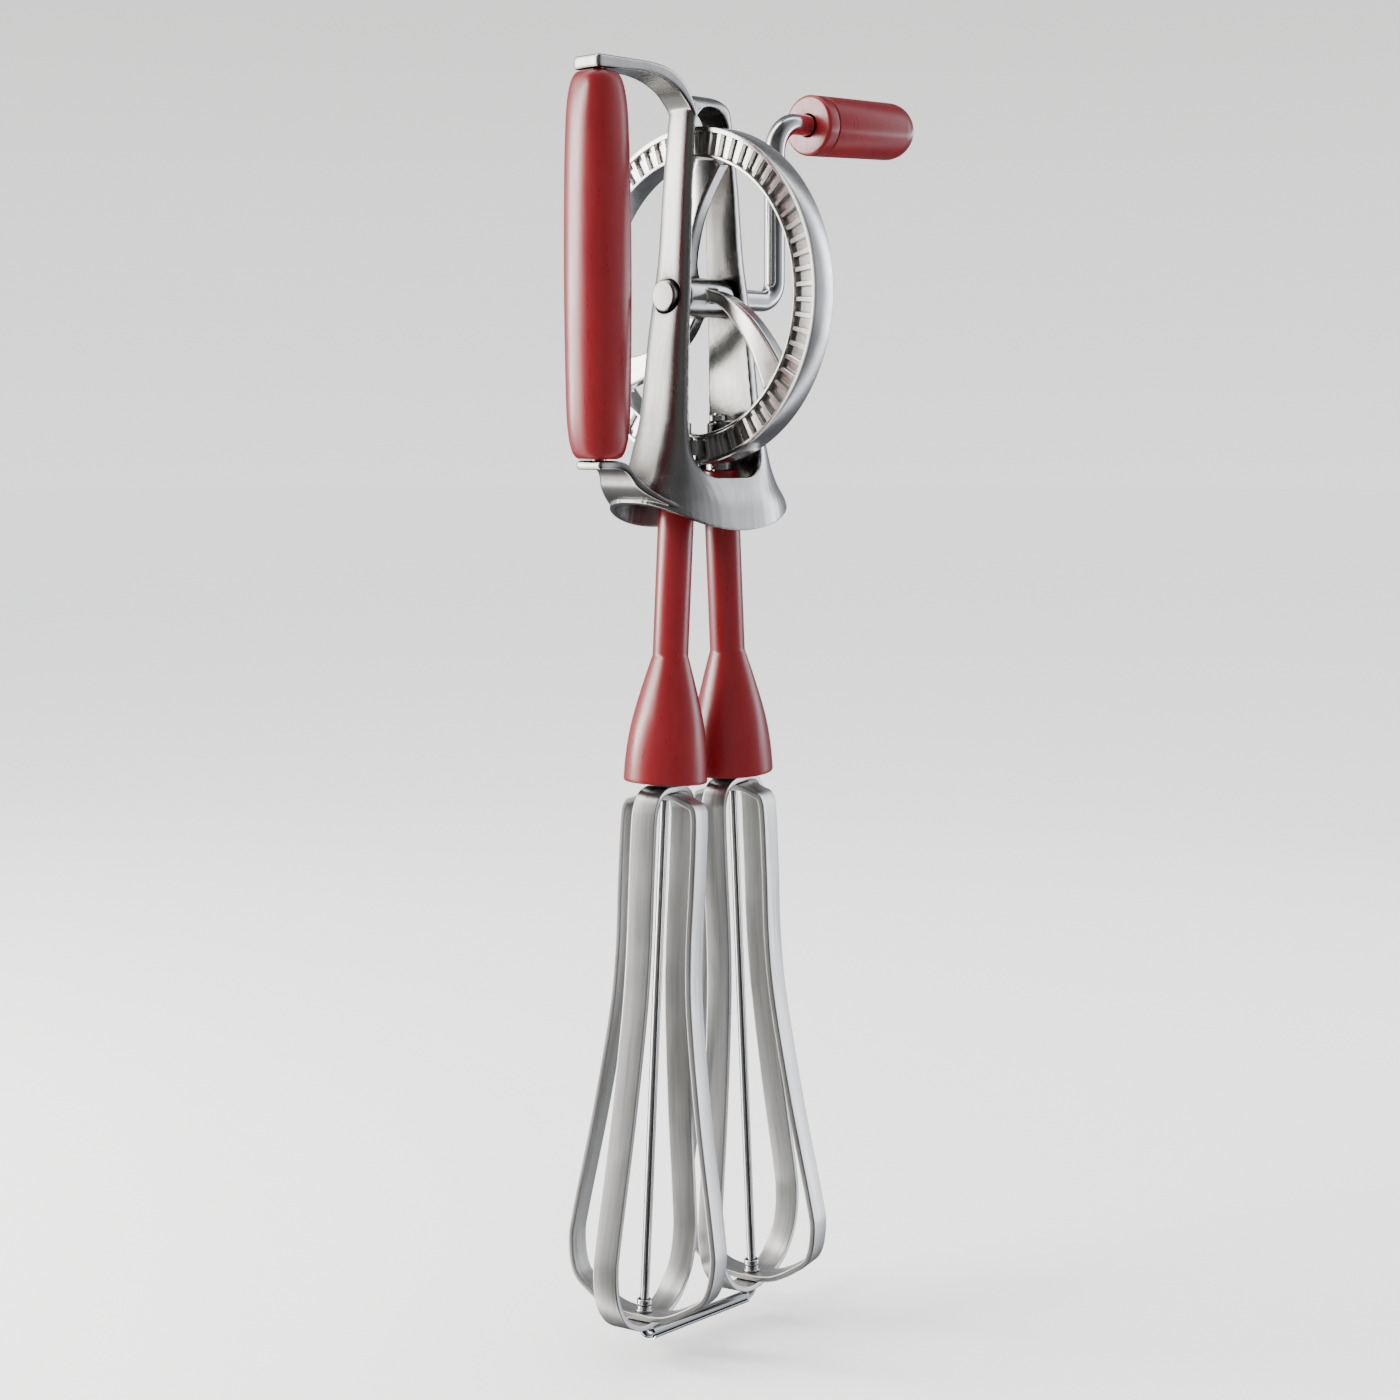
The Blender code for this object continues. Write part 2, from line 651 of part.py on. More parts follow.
def curve_to_mesh(obj):
    """Replace a curve object by its mesh, so that Booleans can work on it."""
    bpy.context.view_layer.update()
    graph = bpy.context.evaluated_depsgraph_get()
    mesh = bpy.data.meshes.new_from_object(obj.evaluated_get(graph))
    bm = bmesh.new()
    bm.from_mesh(mesh)
    bmesh.ops.remove_doubles(bm, verts=bm.verts, dist=1e-6)
    bmesh.ops.recalc_face_normals(bm, faces=bm.faces)
    bm.to_mesh(mesh)
    bm.free()
    name, parent = obj.name, obj.parent
    bpy.data.objects.remove(obj, do_unlink=True)
    solid = bpy.data.objects.new(name, mesh)
    solid.parent = parent
    PARTS.objects.link(solid)
    return solid


def make_knob(knob):
    """Knob with its end collar, and the ring that keeps it on the rod."""
    far = KNOB_LENGTH - KNOB_TIP_R
    near = COLLAR_LENGTH + 0.25
    dome = [(radius, height) for height, radius in arc((far, 0.0), KNOB_TIP_R, 0.0, 90.0, 7)]
    dome[0] = (0.0, KNOB_LENGTH)
    body = dome + [
        (KNOB_R, near + 0.3), (KNOB_R - 0.3, near), (4.6, near), (4.6, near + 2.6),
        (BORE_R, near + 2.6), (BORE_R, 30.5), (0.0, 30.5),
    ]
    lathe("knob_body", body, "red_plastic", knob, 32)
    collar = [
        (KNOB_R - 0.3, COLLAR_LENGTH), (KNOB_R, COLLAR_LENGTH - 0.3), (KNOB_R, 0.5),
        (KNOB_R - 0.5, 0.0), (BORE_R, 0.0), (BORE_R, COLLAR_LENGTH),
    ]
    lathe("knob_collar", collar, "red_plastic", knob, 32)
    ring("knob_retaining_ring", 4.2, BORE_R, near + 0.7, near + 1.7, "rod_metal", knob)


# -------------------------------------------------------------------- beaters

def pinion_outline():
    """Straight-flanked teeth with one tooth on local +X."""
    outline = []
    step = 2.0 * math.pi / PINION_TEETH
    root_half, tip_half = 1.2, 0.5
    for tooth in range(PINION_TEETH):
        turn = Matrix.Rotation(tooth * step, 2)
        flank = (
            (PINION_ROOT, -root_half), (PINION_PITCH, -0.9), (PINION_TIP, -tip_half),
            (PINION_TIP, tip_half), (PINION_PITCH, 0.9), (PINION_ROOT, root_half),
        )
        outline += [tuple(turn @ Vector(point)) for point in flank]
        gap = (tooth + 0.5) * step
        outline.append((PINION_ROOT * math.cos(gap), PINION_ROOT * math.sin(gap)))
    return outline


def make_pinion(side, spin):
    low, high = -0.9, 2.9
    name = "pinion_" + side
    place = Matrix.Translation((0.0, 0.0, (low + high) / 2.0))
    pinion = add_part(name, prism_mesh(name, pinion_outline(), high - low, place), "wheel_metal", spin)
    hub = cylinder_mesh("hub", 3.6, (0, 0, -4.6), (0, 0, high - 0.5), 32)
    boolean(pinion, add_tool("add_hub_" + side, hub, spin), "UNION")
    bore = cylinder_mesh("bore", TUBE_SEAT, (0, 0, -9.0), (0, 0, 9.0), 32)
    boolean(pinion, add_tool("cut_pinion_" + side, bore, spin), "DIFFERENCE")


def make_sleeve(side, spin):
    """Red tube that swells into a bell, hollow under the bell."""
    bell_knots = (
        (SLEEVE_R + 0.15, -52.0), (6.5, -58.1), (7.95, -63.4), (9.2, -68.6),
        (10.0, -73.4), (10.5, -78.4), (10.7, -83.2),
    )
    hollow = [(9.4, -83.6), (9.0, -79.0), (7.6, -73.0), (5.4, -69.0), (TUBE_SEAT, -67.0)]
    top = [(SLEEVE_R - 0.4, -4.9), (SLEEVE_R, -5.3), (SLEEVE_R, -51.6)]
    outer = top + smooth_line(bell_knots, 2) + [(10.5, -83.6)]
    lathe("sleeve_" + side, outer + hollow + [(TUBE_SEAT, -4.9)], "red_plastic", spin, 28)


def loop_line(drop):
    """Centre line of a blade loop in (radius, height), from top to bottom.

    The drop is how far the loop lies inside the outer one.
    """
    knots = (
        (0.0, -85.5 - drop), (4.0, -85.6 - drop), (7.6, -86.9 - drop), (9.6, -89.9), (10.3, -94.3),
        (10.4, -110.0), (10.3, -126.0), (11.3, -143.0), (15.2, -170.5), (20.0, -197.5), (20.9, -206.0),
        (19.2, -214.0), (14.6, -219.9 + drop), (8.6, -223.2 + drop), (4.0, -224.2 + drop),
        (0.0, -224.3 + drop),
    )
    return smooth_line(knots, 2)


def make_loop(name, drop, phase, spin):
    """Closed strip of steel, standing in a plane through the spindle."""
    half = loop_line(drop)
    path = half + [(-radius, height) for radius, height in reversed(half[1:-1])]
    bm = bmesh.new()
    ring_verts = [bm.verts.new((radius, -VANE_WIDTH / 2.0, height)) for radius, height in path]
    edges = [bm.edges.new((a, b)) for a, b in zip(ring_verts, ring_verts[1:] + ring_verts[:1])]
    grown = bmesh.ops.extrude_edge_only(bm, edges=edges)["geom"]
    raised = [item for item in grown if isinstance(item, bmesh.types.BMVert)]
    bmesh.ops.translate(bm, vec=(0.0, VANE_WIDTH, 0.0), verts=raised)
    bmesh.ops.rotate(bm, matrix=Matrix.Rotation(phase, 3, "Z"), verts=bm.verts)
    loop = add_part(name, finish_mesh(name, bm), "blade_steel", spin)
    solid = loop.modifiers.new("Thickness", "SOLIDIFY")
    solid.thickness = VANE_THICK * MM
    solid.offset = 0.0
    solid.use_even_offset = True
    return loop


def make_blades(side, spin):
    """Two crossed loops with their top hub and bottom eyelet."""
    top_hole = cylinder_mesh("top", TUBE_SEAT, (0, 0, -95.0), (0, 0, -80.0), 16)
    top_tool = add_tool("cut_blade_top_" + side, top_hole, spin)
    eyelet_hole = cylinder_mesh("low", 2.1, (0, 0, -230.0), (0, 0, -215.0), 16)
    low_tool = add_tool("cut_blade_low_" + side, eyelet_hole, spin)
    quarter = math.radians(90.0)
    for name, drop, turn in (("outer_loop_", 0.0, 0.0), ("inner_loop_", LOOP_SPACING, quarter)):
        loop = make_loop(name + side, drop, VANE_PHASE[side] + turn, spin)
        boolean(loop, top_tool, "DIFFERENCE")
        boolean(loop, low_tool, "DIFFERENCE")
    hub = [
        (3.9, -79.6), (4.2, -79.9), (4.2, -83.0), (7.0, -83.0), (7.0, -84.4),
        (TUBE_SEAT, -84.4), (TUBE_SEAT, -79.6),
    ]
    lathe("blade_hub_" + side, hub, "blade_steel", spin, 24)
    floor = -224.3 + LOOP_SPACING + VANE_THICK / 2.0
    top = floor + 1.6
    eyelet = [
        (1.85, top), (1.85, floor + 0.65), (2.3, floor + 0.65), (2.3, floor + 0.25), (1.85, floor + 0.25),
        (1.85, -225.35), (2.6, -225.35), (2.6, -225.85), (WIRE_BORE, -225.85), (WIRE_BORE, top),
    ]
    lathe("blade_eyelet_" + side, eyelet, "rod_metal", spin, 16)
    return top


def make_beater(side, axle):
    """Everything on one spindle; the spin empty's -Z runs down the wire."""
    tilt = SPLAY if side == "left" else -SPLAY
    spin = make_empty("spin_" + side, spindle_at(MESH_Z, side), tilt, axle)
    make_pinion(side, spin)
    ring("drive_tube_" + side, TUBE_R, TUBE_BORE, -88.4, 2.6, "rod_metal", spin, 0.0, 20)
    make_sleeve(side, spin)
    top = make_blades(side, spin)
    ring("stop_collar_" + side, 2.0, WIRE_BORE, top + GAP, top + GAP + 1.4, "rod_metal", spin, 0.2, 16)
    scale = 1.0 / math.cos(SPLAY)
    lug_low, lug_high = ((height - MESH_Z) * scale for height in LUG_Z)
    ring("thrust_washer_" + side, 3.4, WIRE_BORE, lug_low - 0.9, lug_low - 0.4, "rod_metal", spin, 0.0, 16)
    ring("spindle_cap_" + side, 2.3, WIRE_BORE, lug_high + 0.4, lug_high + 2.2, "rod_metal", spin, 0.3, 16)


def build():
    axle = make_empty("axle", AXLE)
    drive = make_empty("drive", (0.0, 0.0, 0.0), math.radians(90.0), axle)
    knob = make_empty("knob_axis", KNOB_START, math.radians(90.0) - KNOB_TILT, axle)
    make_frame(axle)
    make_grip(axle)
    make_spindles(axle)
    make_wheel(drive)
    make_crank(axle, drive)
    make_knob(knob)
    for side in ("left", "right"):
        make_beater(side, axle)


build()
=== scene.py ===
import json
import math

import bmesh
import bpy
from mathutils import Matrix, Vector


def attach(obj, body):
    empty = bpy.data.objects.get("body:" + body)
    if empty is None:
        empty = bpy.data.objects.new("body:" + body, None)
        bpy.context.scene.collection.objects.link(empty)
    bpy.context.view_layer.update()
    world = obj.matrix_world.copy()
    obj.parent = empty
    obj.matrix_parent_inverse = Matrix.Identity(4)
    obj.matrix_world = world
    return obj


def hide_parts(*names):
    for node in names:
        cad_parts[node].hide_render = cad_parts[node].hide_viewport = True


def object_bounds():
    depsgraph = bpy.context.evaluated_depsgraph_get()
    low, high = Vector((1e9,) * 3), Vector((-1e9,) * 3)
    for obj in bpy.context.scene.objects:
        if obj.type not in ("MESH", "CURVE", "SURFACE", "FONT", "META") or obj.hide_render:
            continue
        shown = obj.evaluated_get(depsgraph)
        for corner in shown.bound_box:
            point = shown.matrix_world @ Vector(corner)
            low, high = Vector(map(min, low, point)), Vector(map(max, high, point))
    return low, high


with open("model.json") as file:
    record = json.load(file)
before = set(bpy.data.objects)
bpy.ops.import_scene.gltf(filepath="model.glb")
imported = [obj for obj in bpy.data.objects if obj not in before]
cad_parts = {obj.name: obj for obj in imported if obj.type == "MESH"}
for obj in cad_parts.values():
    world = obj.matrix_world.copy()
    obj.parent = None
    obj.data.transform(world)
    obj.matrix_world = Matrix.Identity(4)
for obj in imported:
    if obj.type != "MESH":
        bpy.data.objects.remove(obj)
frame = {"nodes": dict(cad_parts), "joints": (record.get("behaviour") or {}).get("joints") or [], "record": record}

# Looks of the rotary egg beater: refined meshes over the fixed frame,
# procedural metals and red plastic, a pale studio and the camera.
#
# Pieces are drawn in millimetres, either from the wheel's centre (X along the
# axle, Z up) or about a joint's own axis, and then placed by the frame.

CAD_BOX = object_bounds()
MM = 0.001
JOINTS = {joint["name"]: joint for joint in frame["joints"]}
AXLE = Vector(JOINTS["wheel_spin"]["pos_m"])
FRAME_PLACE = Matrix.Translation(AXLE) @ Matrix.Scale(MM, 4)

# Wheel
WHEEL_TEETH = 64
WHEEL_R = 42.0
WHEEL_HALF = 3.35
CHANNEL_OUT = 40.6
CHANNEL_IN = 35.3
RIM_IN = 34.4
WEB_HALF = 1.9
BAR_R = 38.0
BAR_HALF = 3.0
BAR_WIDTH = 1.3
BAR_BEVEL = 0.14
BAR_CHAMFER = 0.16
HUB_R = 4.9
HUB_HALF = 7.9
RING_HALF = 2.6
SPOKE_THICK = 3.6
SPOKE_ANGLES = (0.0, 108.0, 240.0)
SPIDER_VOXEL = 0.32
SPIDER_PASSES = 6

# Rod, axle cap, knob
ROD_R = 2.7
ROD_BORE = 3.0
ROD_BENDS = (5.2, 8.0)
CRANK_X = 28.2
CAP_R = 3.95
CAP_HEIGHT = 1.8
CAP_EDGE = 0.6
KNOB_START = Vector((41.0, 0.0, 46.3))
KNOB_R = 7.85
KNOB_TIP_R = 7.6
KNOB_LENGTH = 39.8
KNOB_EDGE = 0.35
KNOB_BORE_END = 30.5
ROD_END_IN_KNOB = 29.5
RECESS_R = 4.6
RECESS_DEPTH = 2.6
COLLAR_LENGTH = 4.0
COLLAR_GAP = 0.25

# Spindles and beaters; heights on a beater run from its joint along its axis.
SIDES = (("left", -1.0), ("right", 1.0))
MESH_Z = -38.5
SPINDLE_X = 7.5
SPLAY = math.radians(3.38)
WIRE_R = 1.15
WIRE_BORE = 1.45
WIRE_BEND = 2.6
TUBE_SEAT = 2.45
SLEEVE_R = 4.55
SLEEVE_TOP = -4.9
BRIDGE_Z = -266.5
BRIDGE_SLEEVE_R = (1.35, 1.65)
BRIDGE_SEAM = (-74.0, 254.0)
VANE_PHASE = {"left": 16.0, "right": 13.0}
VANE_WIDTH = 6.8
VANE_THICK = 1.6
VANE_EDGE = 0.38
LOOP_SPACING = VANE_THICK + 0.25
LOOP_TOP = -85.5
LOOP_BOTTOM = -224.3
LOOP_EYE_R = 2.1

# Grip: (height, half width) stations of its rounded square section
GRIP_X = -35.3
GRIP_BORE = 2.2
GRIP_POWER = 2.5
GRIP_STATIONS = (
    (-40.25, 4.3), (-39.7, 5.3), (-38.0, 6.2), (-34.0, 6.95), (-27.0, 7.35),
    (-10.0, 7.6), (8.0, 7.65), (28.0, 7.45), (39.5, 7.1), (44.3, 6.8),
    (47.5, 6.35), (49.8, 5.8), (51.2, 5.1), (51.8, 4.5), (52.0, 3.9),
)

# Arms of the casting, from the free end inwards: (X, Z) of the upper side,
# (X, Z) of the lower side, and half the width.
UPPER_ARM = (
    (-39.0, 55.6, -39.0, 52.3, 4.5),
    (-31.0, 55.6, -31.0, 52.7, 4.5),
    (-25.0, 55.6, -25.0, 52.9, 4.5),
    (-20.5, 55.5, -21.0, 52.7, 4.5),
    (-15.7, 54.9, -17.0, 51.9, 4.5),
    (-12.6, 53.8, -13.9, 50.8, 4.5),
    (-9.8, 52.1, -11.1, 49.3, 4.5),
    (-7.9, 50.1, -8.9, 47.4, 4.5),
    (-6.3, 47.5, -7.2, 45.6, 4.5),
    (-5.1, 44.8, -6.1, 43.9, 4.5),
)
LOWER_ARM = (
    (-39.0, -40.55, -39.0, -42.8, 4.5),
    (-34.0, -40.55, -34.0, -42.8, 4.5),
    (-31.2, -41.0, -31.8, -43.0, 5.1),
    (-29.3, -42.1, -30.3, -44.0, 5.7),
    (-28.1, -43.7, -29.3, -45.4, 6.3),
    (-27.2, -45.3, -28.4, -47.1, 7.0),
    (-25.9, -46.9, -26.8, -48.6, 8.0),
    (-24.2, -48.4, -24.7, -50.0, 9.3),
    (-21.6, -50.3, -21.9, -51.5, 10.9),
    (-18.4, -52.3, -18.2, -53.3, 12.8),
    (-16.6, -53.4, -16.4, -54.2, 13.8),
)

# Body of the casting: (height, half length of the flat sides, half width,
# depth of the rounded front end, depth of the rear end, power of their
# superellipse).  The slot for the wheel leaves the two ends as legs.
HORN = (
    (-60.0, 4.0, 16.2, 22.4, 22.4, 2.7),
    (-55.0, 4.0, 15.3, 21.7, 21.7, 2.7),
    (-51.0, 4.4, 14.5, 20.3, 20.3, 2.7),
    (-47.0, 6.0, 12.8, 16.2, 16.4, 2.65),
    (-43.0, 9.4, 11.1, 10.3, 11.2, 2.6),
    (-38.5, 12.2, 9.6, 5.8, 7.1, 2.5),
    (-33.0, 11.8, 8.4, 4.7, 6.1, 2.7),
    (-27.0, 11.3, 7.7, 4.0, 5.6, 2.9),
    (-11.0, 10.1, 6.8, 3.45, 5.2, 3.0),
    (0.0, 9.0, 6.1, 2.85, 5.0, 3.0),
    (10.0, 7.9, 5.4, 2.75, 4.7, 3.0),
    (26.0, 7.0, 4.9, 2.5, 4.1, 3.0),
    (40.0, 5.8, 4.5, 2.35, 3.5, 3.0),
    (45.0, 5.3, 4.3, 2.2, 3.1, 3.0),
)
HORN_STEPS = 6
HORN_TOP = 49.6
HORN_DOME = 45.0
DOME_STEPS = 14
HOLLOW_TOP = -33.5
WALL = 1.5
SKIRT_R = 45.7
SKIRT_Z = -12.5
SLOT_BOTTOM = -45.0
SLOT_FOOT = -38.0
SLOT_ARCH = 40.5
SLOT_TOP = 46.8
SLOT_MARGIN = 0.2
ARCH_STEPS = 16
SPOT_FACE_X = -11.1
SPOT_FACE_R = 4.3
BOSS_WALL = 0.3
LUG_Z = (-34.4, -31.4)
LUG_HALF = 3.0
LUG_END = 15.6
CAST_VOXEL = 0.26
CAST_PASSES = 3
# Depth of the blocks that clip the skirt and cut the slot, and the skirt
# block's reach upwards
BLOCK = 60.0

# Camera, in millimetres from the wheel's centre
CAMERA_AT = Vector((-430.6, -415.5, -32.8))
CAMERA_TURN = math.radians(-46.04)
CAMERA_DROP = math.radians(6.62)
CAMERA_LENS = 60.15
CAMERA_SENSOR = 36.0

FLOOR_GAP = 4.0
FLOOR_REACH = 9000.0
FLOOR_TINT = (0.86, 0.86, 0.855, 1.0)

# Softboxes: name, offset in metres (right, ahead, up), size, power, colour
SOFTBOXES = (
    ("key", (-0.80, -0.10, 0.30), (0.16, 0.9), 22.0, (1.0, 0.96, 0.91)),
    ("rim", (0.62, 0.34, 0.10), (0.06, 0.9), 1.4, (0.84, 0.91, 1.0)),
    ("top", (0.0, 0.1, 1.1), (0.9, 0.9), 5.0, (1.0, 1.0, 1.0)),
)

# Studio as reflections see it: (position, brightness, tone).  Positions run
# once round from behind the camera: 0.25 is its left, 0.5 straight ahead,
# 0.75 its right.
WARM = (1.0, 0.99, 0.965)
COOL = (0.90, 0.95, 1.05)
STUDIO_WALLS = (
    (0.0, 0.10, WARM),
    (0.12, 0.12, WARM),
    (0.17, 0.50, WARM),
    (0.205, 2.2, WARM),
    (0.24, 10.0, WARM),
    (0.28, 10.0, WARM),
    (0.315, 3.4, WARM),
    (0.37, 1.1, WARM),
    (0.45, 0.36, COOL),
    (0.60, 0.32, COOL),
    (0.655, 0.8, COOL),
    (0.69, 6.0, COOL),
    (0.715, 3.2, COOL),
    (0.74, 0.8, COOL),
    (0.80, 0.5, COOL),
    (0.86, 0.14, COOL),
    (0.92, 0.07, COOL),
    (1.0, 0.10, WARM),
)
# Share of that brightness from straight down (0) to straight up (1)
STUDIO_HEIGHTS = (
    (0.0, 0.30),
    (0.36, 0.5),
    (0.43, 1.0),
    (0.62, 1.0),
    (0.70, 0.85),
    (0.80, 0.5),
    (0.88, 0.45),
    (0.96, 0.8),
    (1.0, 1.0),
)
# Backdrop as the camera sees it, over the same heights
BACKDROP = ((0.49, (0.85, 0.85, 0.845)), (0.60, (0.60, 0.598, 0.585)))
BACKDROP_LIGHT = 2.0
# Light from all round for every other ray
EVEN_TINT = (0.98, 0.99, 1.0, 1.0)
EVEN_LIGHT = 2.0


# ------------------------------------------------------------ lines, outlines

def arc(centre, radius, start, end, steps):
    """Points on an arc in a plane; angles in degrees."""
    points = []
    for i in range(steps + 1):
        angle = math.radians(start + (end - start) * i / steps)
        points.append((centre[0] + radius * math.cos(angle), centre[1] + radius * math.sin(angle)))
    return points


def catmull_rom(a, b, c, d, t):
    """Value at t between b and c, for numbers a to d in a row."""
    slope_in = (c - a) / 2.0
    slope_out = (d - b) / 2.0
    cube = 2.0 * (b - c) + slope_in + slope_out
    square = 3.0 * (c - b) - 2.0 * slope_in - slope_out
    return ((cube * t + square) * t + slope_in) * t + b


def smooth_line(knots, steps):
    """Catmull-Rom points through the knots, each knot a tuple of numbers."""
    padded = [knots[0], *knots, knots[-1]]
    points = []
    for a, b, c, d in zip(padded, padded[1:], padded[2:], padded[3:]):
        for i in range(steps):
            t = i / steps
            points.append(tuple(catmull_rom(pa, pb, pc, pd, t) for pa, pb, pc, pd in zip(a, b, c, d)))
    points.append(tuple(knots[-1]))
    return points


def rounded_corners(points, radii, steps=5):
    """Outline with the given corners rounded; a radius of 0 keeps a corner."""
    out = []
    count = len(points)
    for i, radius in enumerate(radii):
        corner = Vector(points[i])
        if radius == 0.0:
            out.append(tuple(corner))
            continue
        before = Vector(points[i - 1])
        after = Vector(points[(i + 1) % count])
        start = corner + (before - corner).normalized() * radius
        end = corner + (after - corner).normalized() * radius
        for step in range(steps + 1):
            t = step / steps
            out.append(tuple(start.lerp(corner, t).lerp(corner.lerp(end, t), t)))
    return out


def bent_line(corners, radii, steps=16):
    """Line through corners with each inner corner rounded to its radius."""
    corners = [Vector(corner) for corner in corners]
    path = [corners[0]]
    for before, corner, after, radius in zip(corners, corners[1:], corners[2:], radii):
        into = (corner - before).normalized()
        away = (after - corner).normalized()
        bend = into.angle(away)
        start = corner - into * radius * math.tan(bend / 2.0)
        side = (away - into * into.dot(away)).normalized()
        for i in range(steps + 1):
            turn = bend * i / steps
            path.append(start + into * radius * math.sin(turn) + side * radius * (1.0 - math.cos(turn)))
    path.append(corners[-1])
    return path


def spindle_at(height, sign):
    """Point on a beater's axis at a height above the wheel's centre."""
    return Vector((sign * (SPINDLE_X + (MESH_Z - height) * math.tan(SPLAY)), 0.0, height))


def joint_place(name):
    """Placement of a piece drawn in millimetres about a joint's axis, its Z."""
    joint = JOINTS[name]
    axis = Vector(joint["axis"])
    tilt = math.atan2(axis.x, axis.z)
    turned = Matrix.Translation(Vector(joint["pos_m"])) @ Matrix.Rotation(tilt, 4, "Y")
    return turned @ Matrix.Scale(MM, 4)


# ----------------------------------------------------------------- mesh tools

def grid_skin(bm, rows, close_rows, close_columns):
    """Quads between rows of points; either direction can be closed."""
    verts = [[bm.verts.new(point) for point in row] for row in rows]
    row_count, column_count = len(verts), len(verts[0])
    for i in range(row_count if close_rows else row_count - 1):
        for j in range(column_count if close_columns else column_count - 1):
            lower, upper = verts[i], verts[(i + 1) % row_count]
            k = (j + 1) % column_count
            bm.faces.new((lower[j], lower[k], upper[k], upper[j]))
    return verts


def loft(rings):
    """Closed skin over rings with equal point counts."""
    bm = bmesh.new()
    verts = grid_skin(bm, rings, False, True)
    bm.faces.new(list(reversed(verts[0])))
    bm.faces.new(verts[-1])
    return bm


def revolve(profile, segments=96, closed=True):
    """Turned solid about Z from (radius, height) points.

    An open profile starts and ends on the axis.
    """
    bm = bmesh.new()
    rows = []
    for i in range(segments):
        angle = 2.0 * math.pi * i / segments
        rows.append([(r * math.cos(angle), r * math.sin(angle), z) for r, z in profile])
    grid_skin(bm, rows, True, closed)
    bmesh.ops.remove_doubles(bm, verts=bm.verts, dist=1e-4)
    return bm


def prism(outline, depth, place=Matrix.Identity(4)):
    """Solid of a flat outline, half its depth on each side of the plane."""
    bm = bmesh.new()
    lower = [bm.verts.new((x, y, -depth / 2.0)) for x, y in outline]
    upper = [bm.verts.new((x, y, depth / 2.0)) for x, y in outline]
    count = len(outline)
    for i in range(count):
        j = (i + 1) % count
        bm.faces.new((lower[i], lower[j], upper[j], upper[i]))
    bm.faces.new(list(reversed(lower)))
    bm.faces.new(upper)
    bmesh.ops.transform(bm, matrix=place, verts=bm.verts)
    return bm


def cylinder(radius, start, end, segments=64):
    start, end = Vector(start), Vector(end)
    axis = end - start
    turn = axis.to_track_quat("Z", "Y").to_matrix().to_4x4()
    bm = bmesh.new()
    bmesh.ops.create_cone(
        bm,
        cap_ends=True,
        segments=segments,
        radius1=radius,
        radius2=radius,
        depth=axis.length,
        matrix=Matrix.Translation((start + end) / 2.0) @ turn,
    )
    return bm


def to_mesh(bm, name="solid"):
    bmesh.ops.recalc_face_normals(bm, faces=bm.faces)
    mesh = bpy.data.meshes.new(name)
    bm.to_mesh(mesh)
    bm.free()
    return mesh


def scratch_object(mesh):
    obj = bpy.data.objects.new("scratch", mesh)
    bpy.context.scene.collection.objects.link(obj)
    return obj


def applied_mesh(obj):
    """Mesh of the object with its modifiers applied."""
    bpy.context.view_layer.update()
    graph = bpy.context.evaluated_depsgraph_get()
    return bpy.data.meshes.new_from_object(obj.evaluated_get(graph))


def combine(bm, steps):
    """Mesh of a solid after each (operation, tool) step in turn."""
    base = scratch_object(to_mesh(bm))
    tools = []
    for operation, tool_bm in steps:
        tool = scratch_object(to_mesh(tool_bm))
        modifier = base.modifiers.new("Boolean", "BOOLEAN")
        modifier.operation = operation
        modifier.solver = "EXACT"
        modifier.object = tool
        tools.append(tool)
    mesh = applied_mesh(base)
    for obj in [base] + tools:
        bpy.data.objects.remove(obj, do_unlink=True)
    return mesh


def soften(mesh, voxel, passes):
    """Remesh to even quads and relax them, which rounds every edge."""
    obj = scratch_object(mesh)
    remesh = obj.modifiers.new("Remesh", "REMESH")
    remesh.mode = "VOXEL"
    remesh.voxel_size = voxel
    relax = obj.modifiers.new("Relax", "SMOOTH")
    relax.factor = 0.5
    relax.iterations = passes
    soft = applied_mesh(obj)
    bpy.data.objects.remove(obj, do_unlink=True)
    return soft


def add_piece(name, mesh, place, body, finish, nodes, sharp=35.0):
    """Place a mesh, shade it and let it stand for its CAD nodes."""
    mesh.transform(place)
    mesh.name = name
    mesh.shade_smooth()
    mesh.set_sharp_from_angle(angle=math.radians(sharp))
    mesh.materials.clear()
    mesh.materials.append(MATERIALS[finish])
    obj = bpy.data.objects.new(name, mesh)
    bpy.context.scene.collection.objects.link(obj)
    if finish == "red_plastic":
        LIT.objects.link(obj)
    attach(obj, body)
    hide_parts(*nodes)
    return obj


def add_rod(name, path, radius, body, finish, nodes, sides=6):
    """Round rod along a line of points."""
    curve = bpy.data.curves.new(name, "CURVE")
    curve.dimensions = "3D"
    curve.bevel_depth = radius
    curve.bevel_resolution = sides
    curve.use_fill_caps = True
    spline = curve.splines.new("POLY")
    spline.points.add(len(path) - 1)
    for slot, point in zip(spline.points, path):
        slot.co = (*point, 1.0)
    rod = scratch_object(curve)
    mesh = applied_mesh(rod)
    bpy.data.objects.remove(rod, do_unlink=True)
    return add_piece(name, mesh, FRAME_PLACE, body, finish, nodes)


# ------------------------------------------------------------------ materials

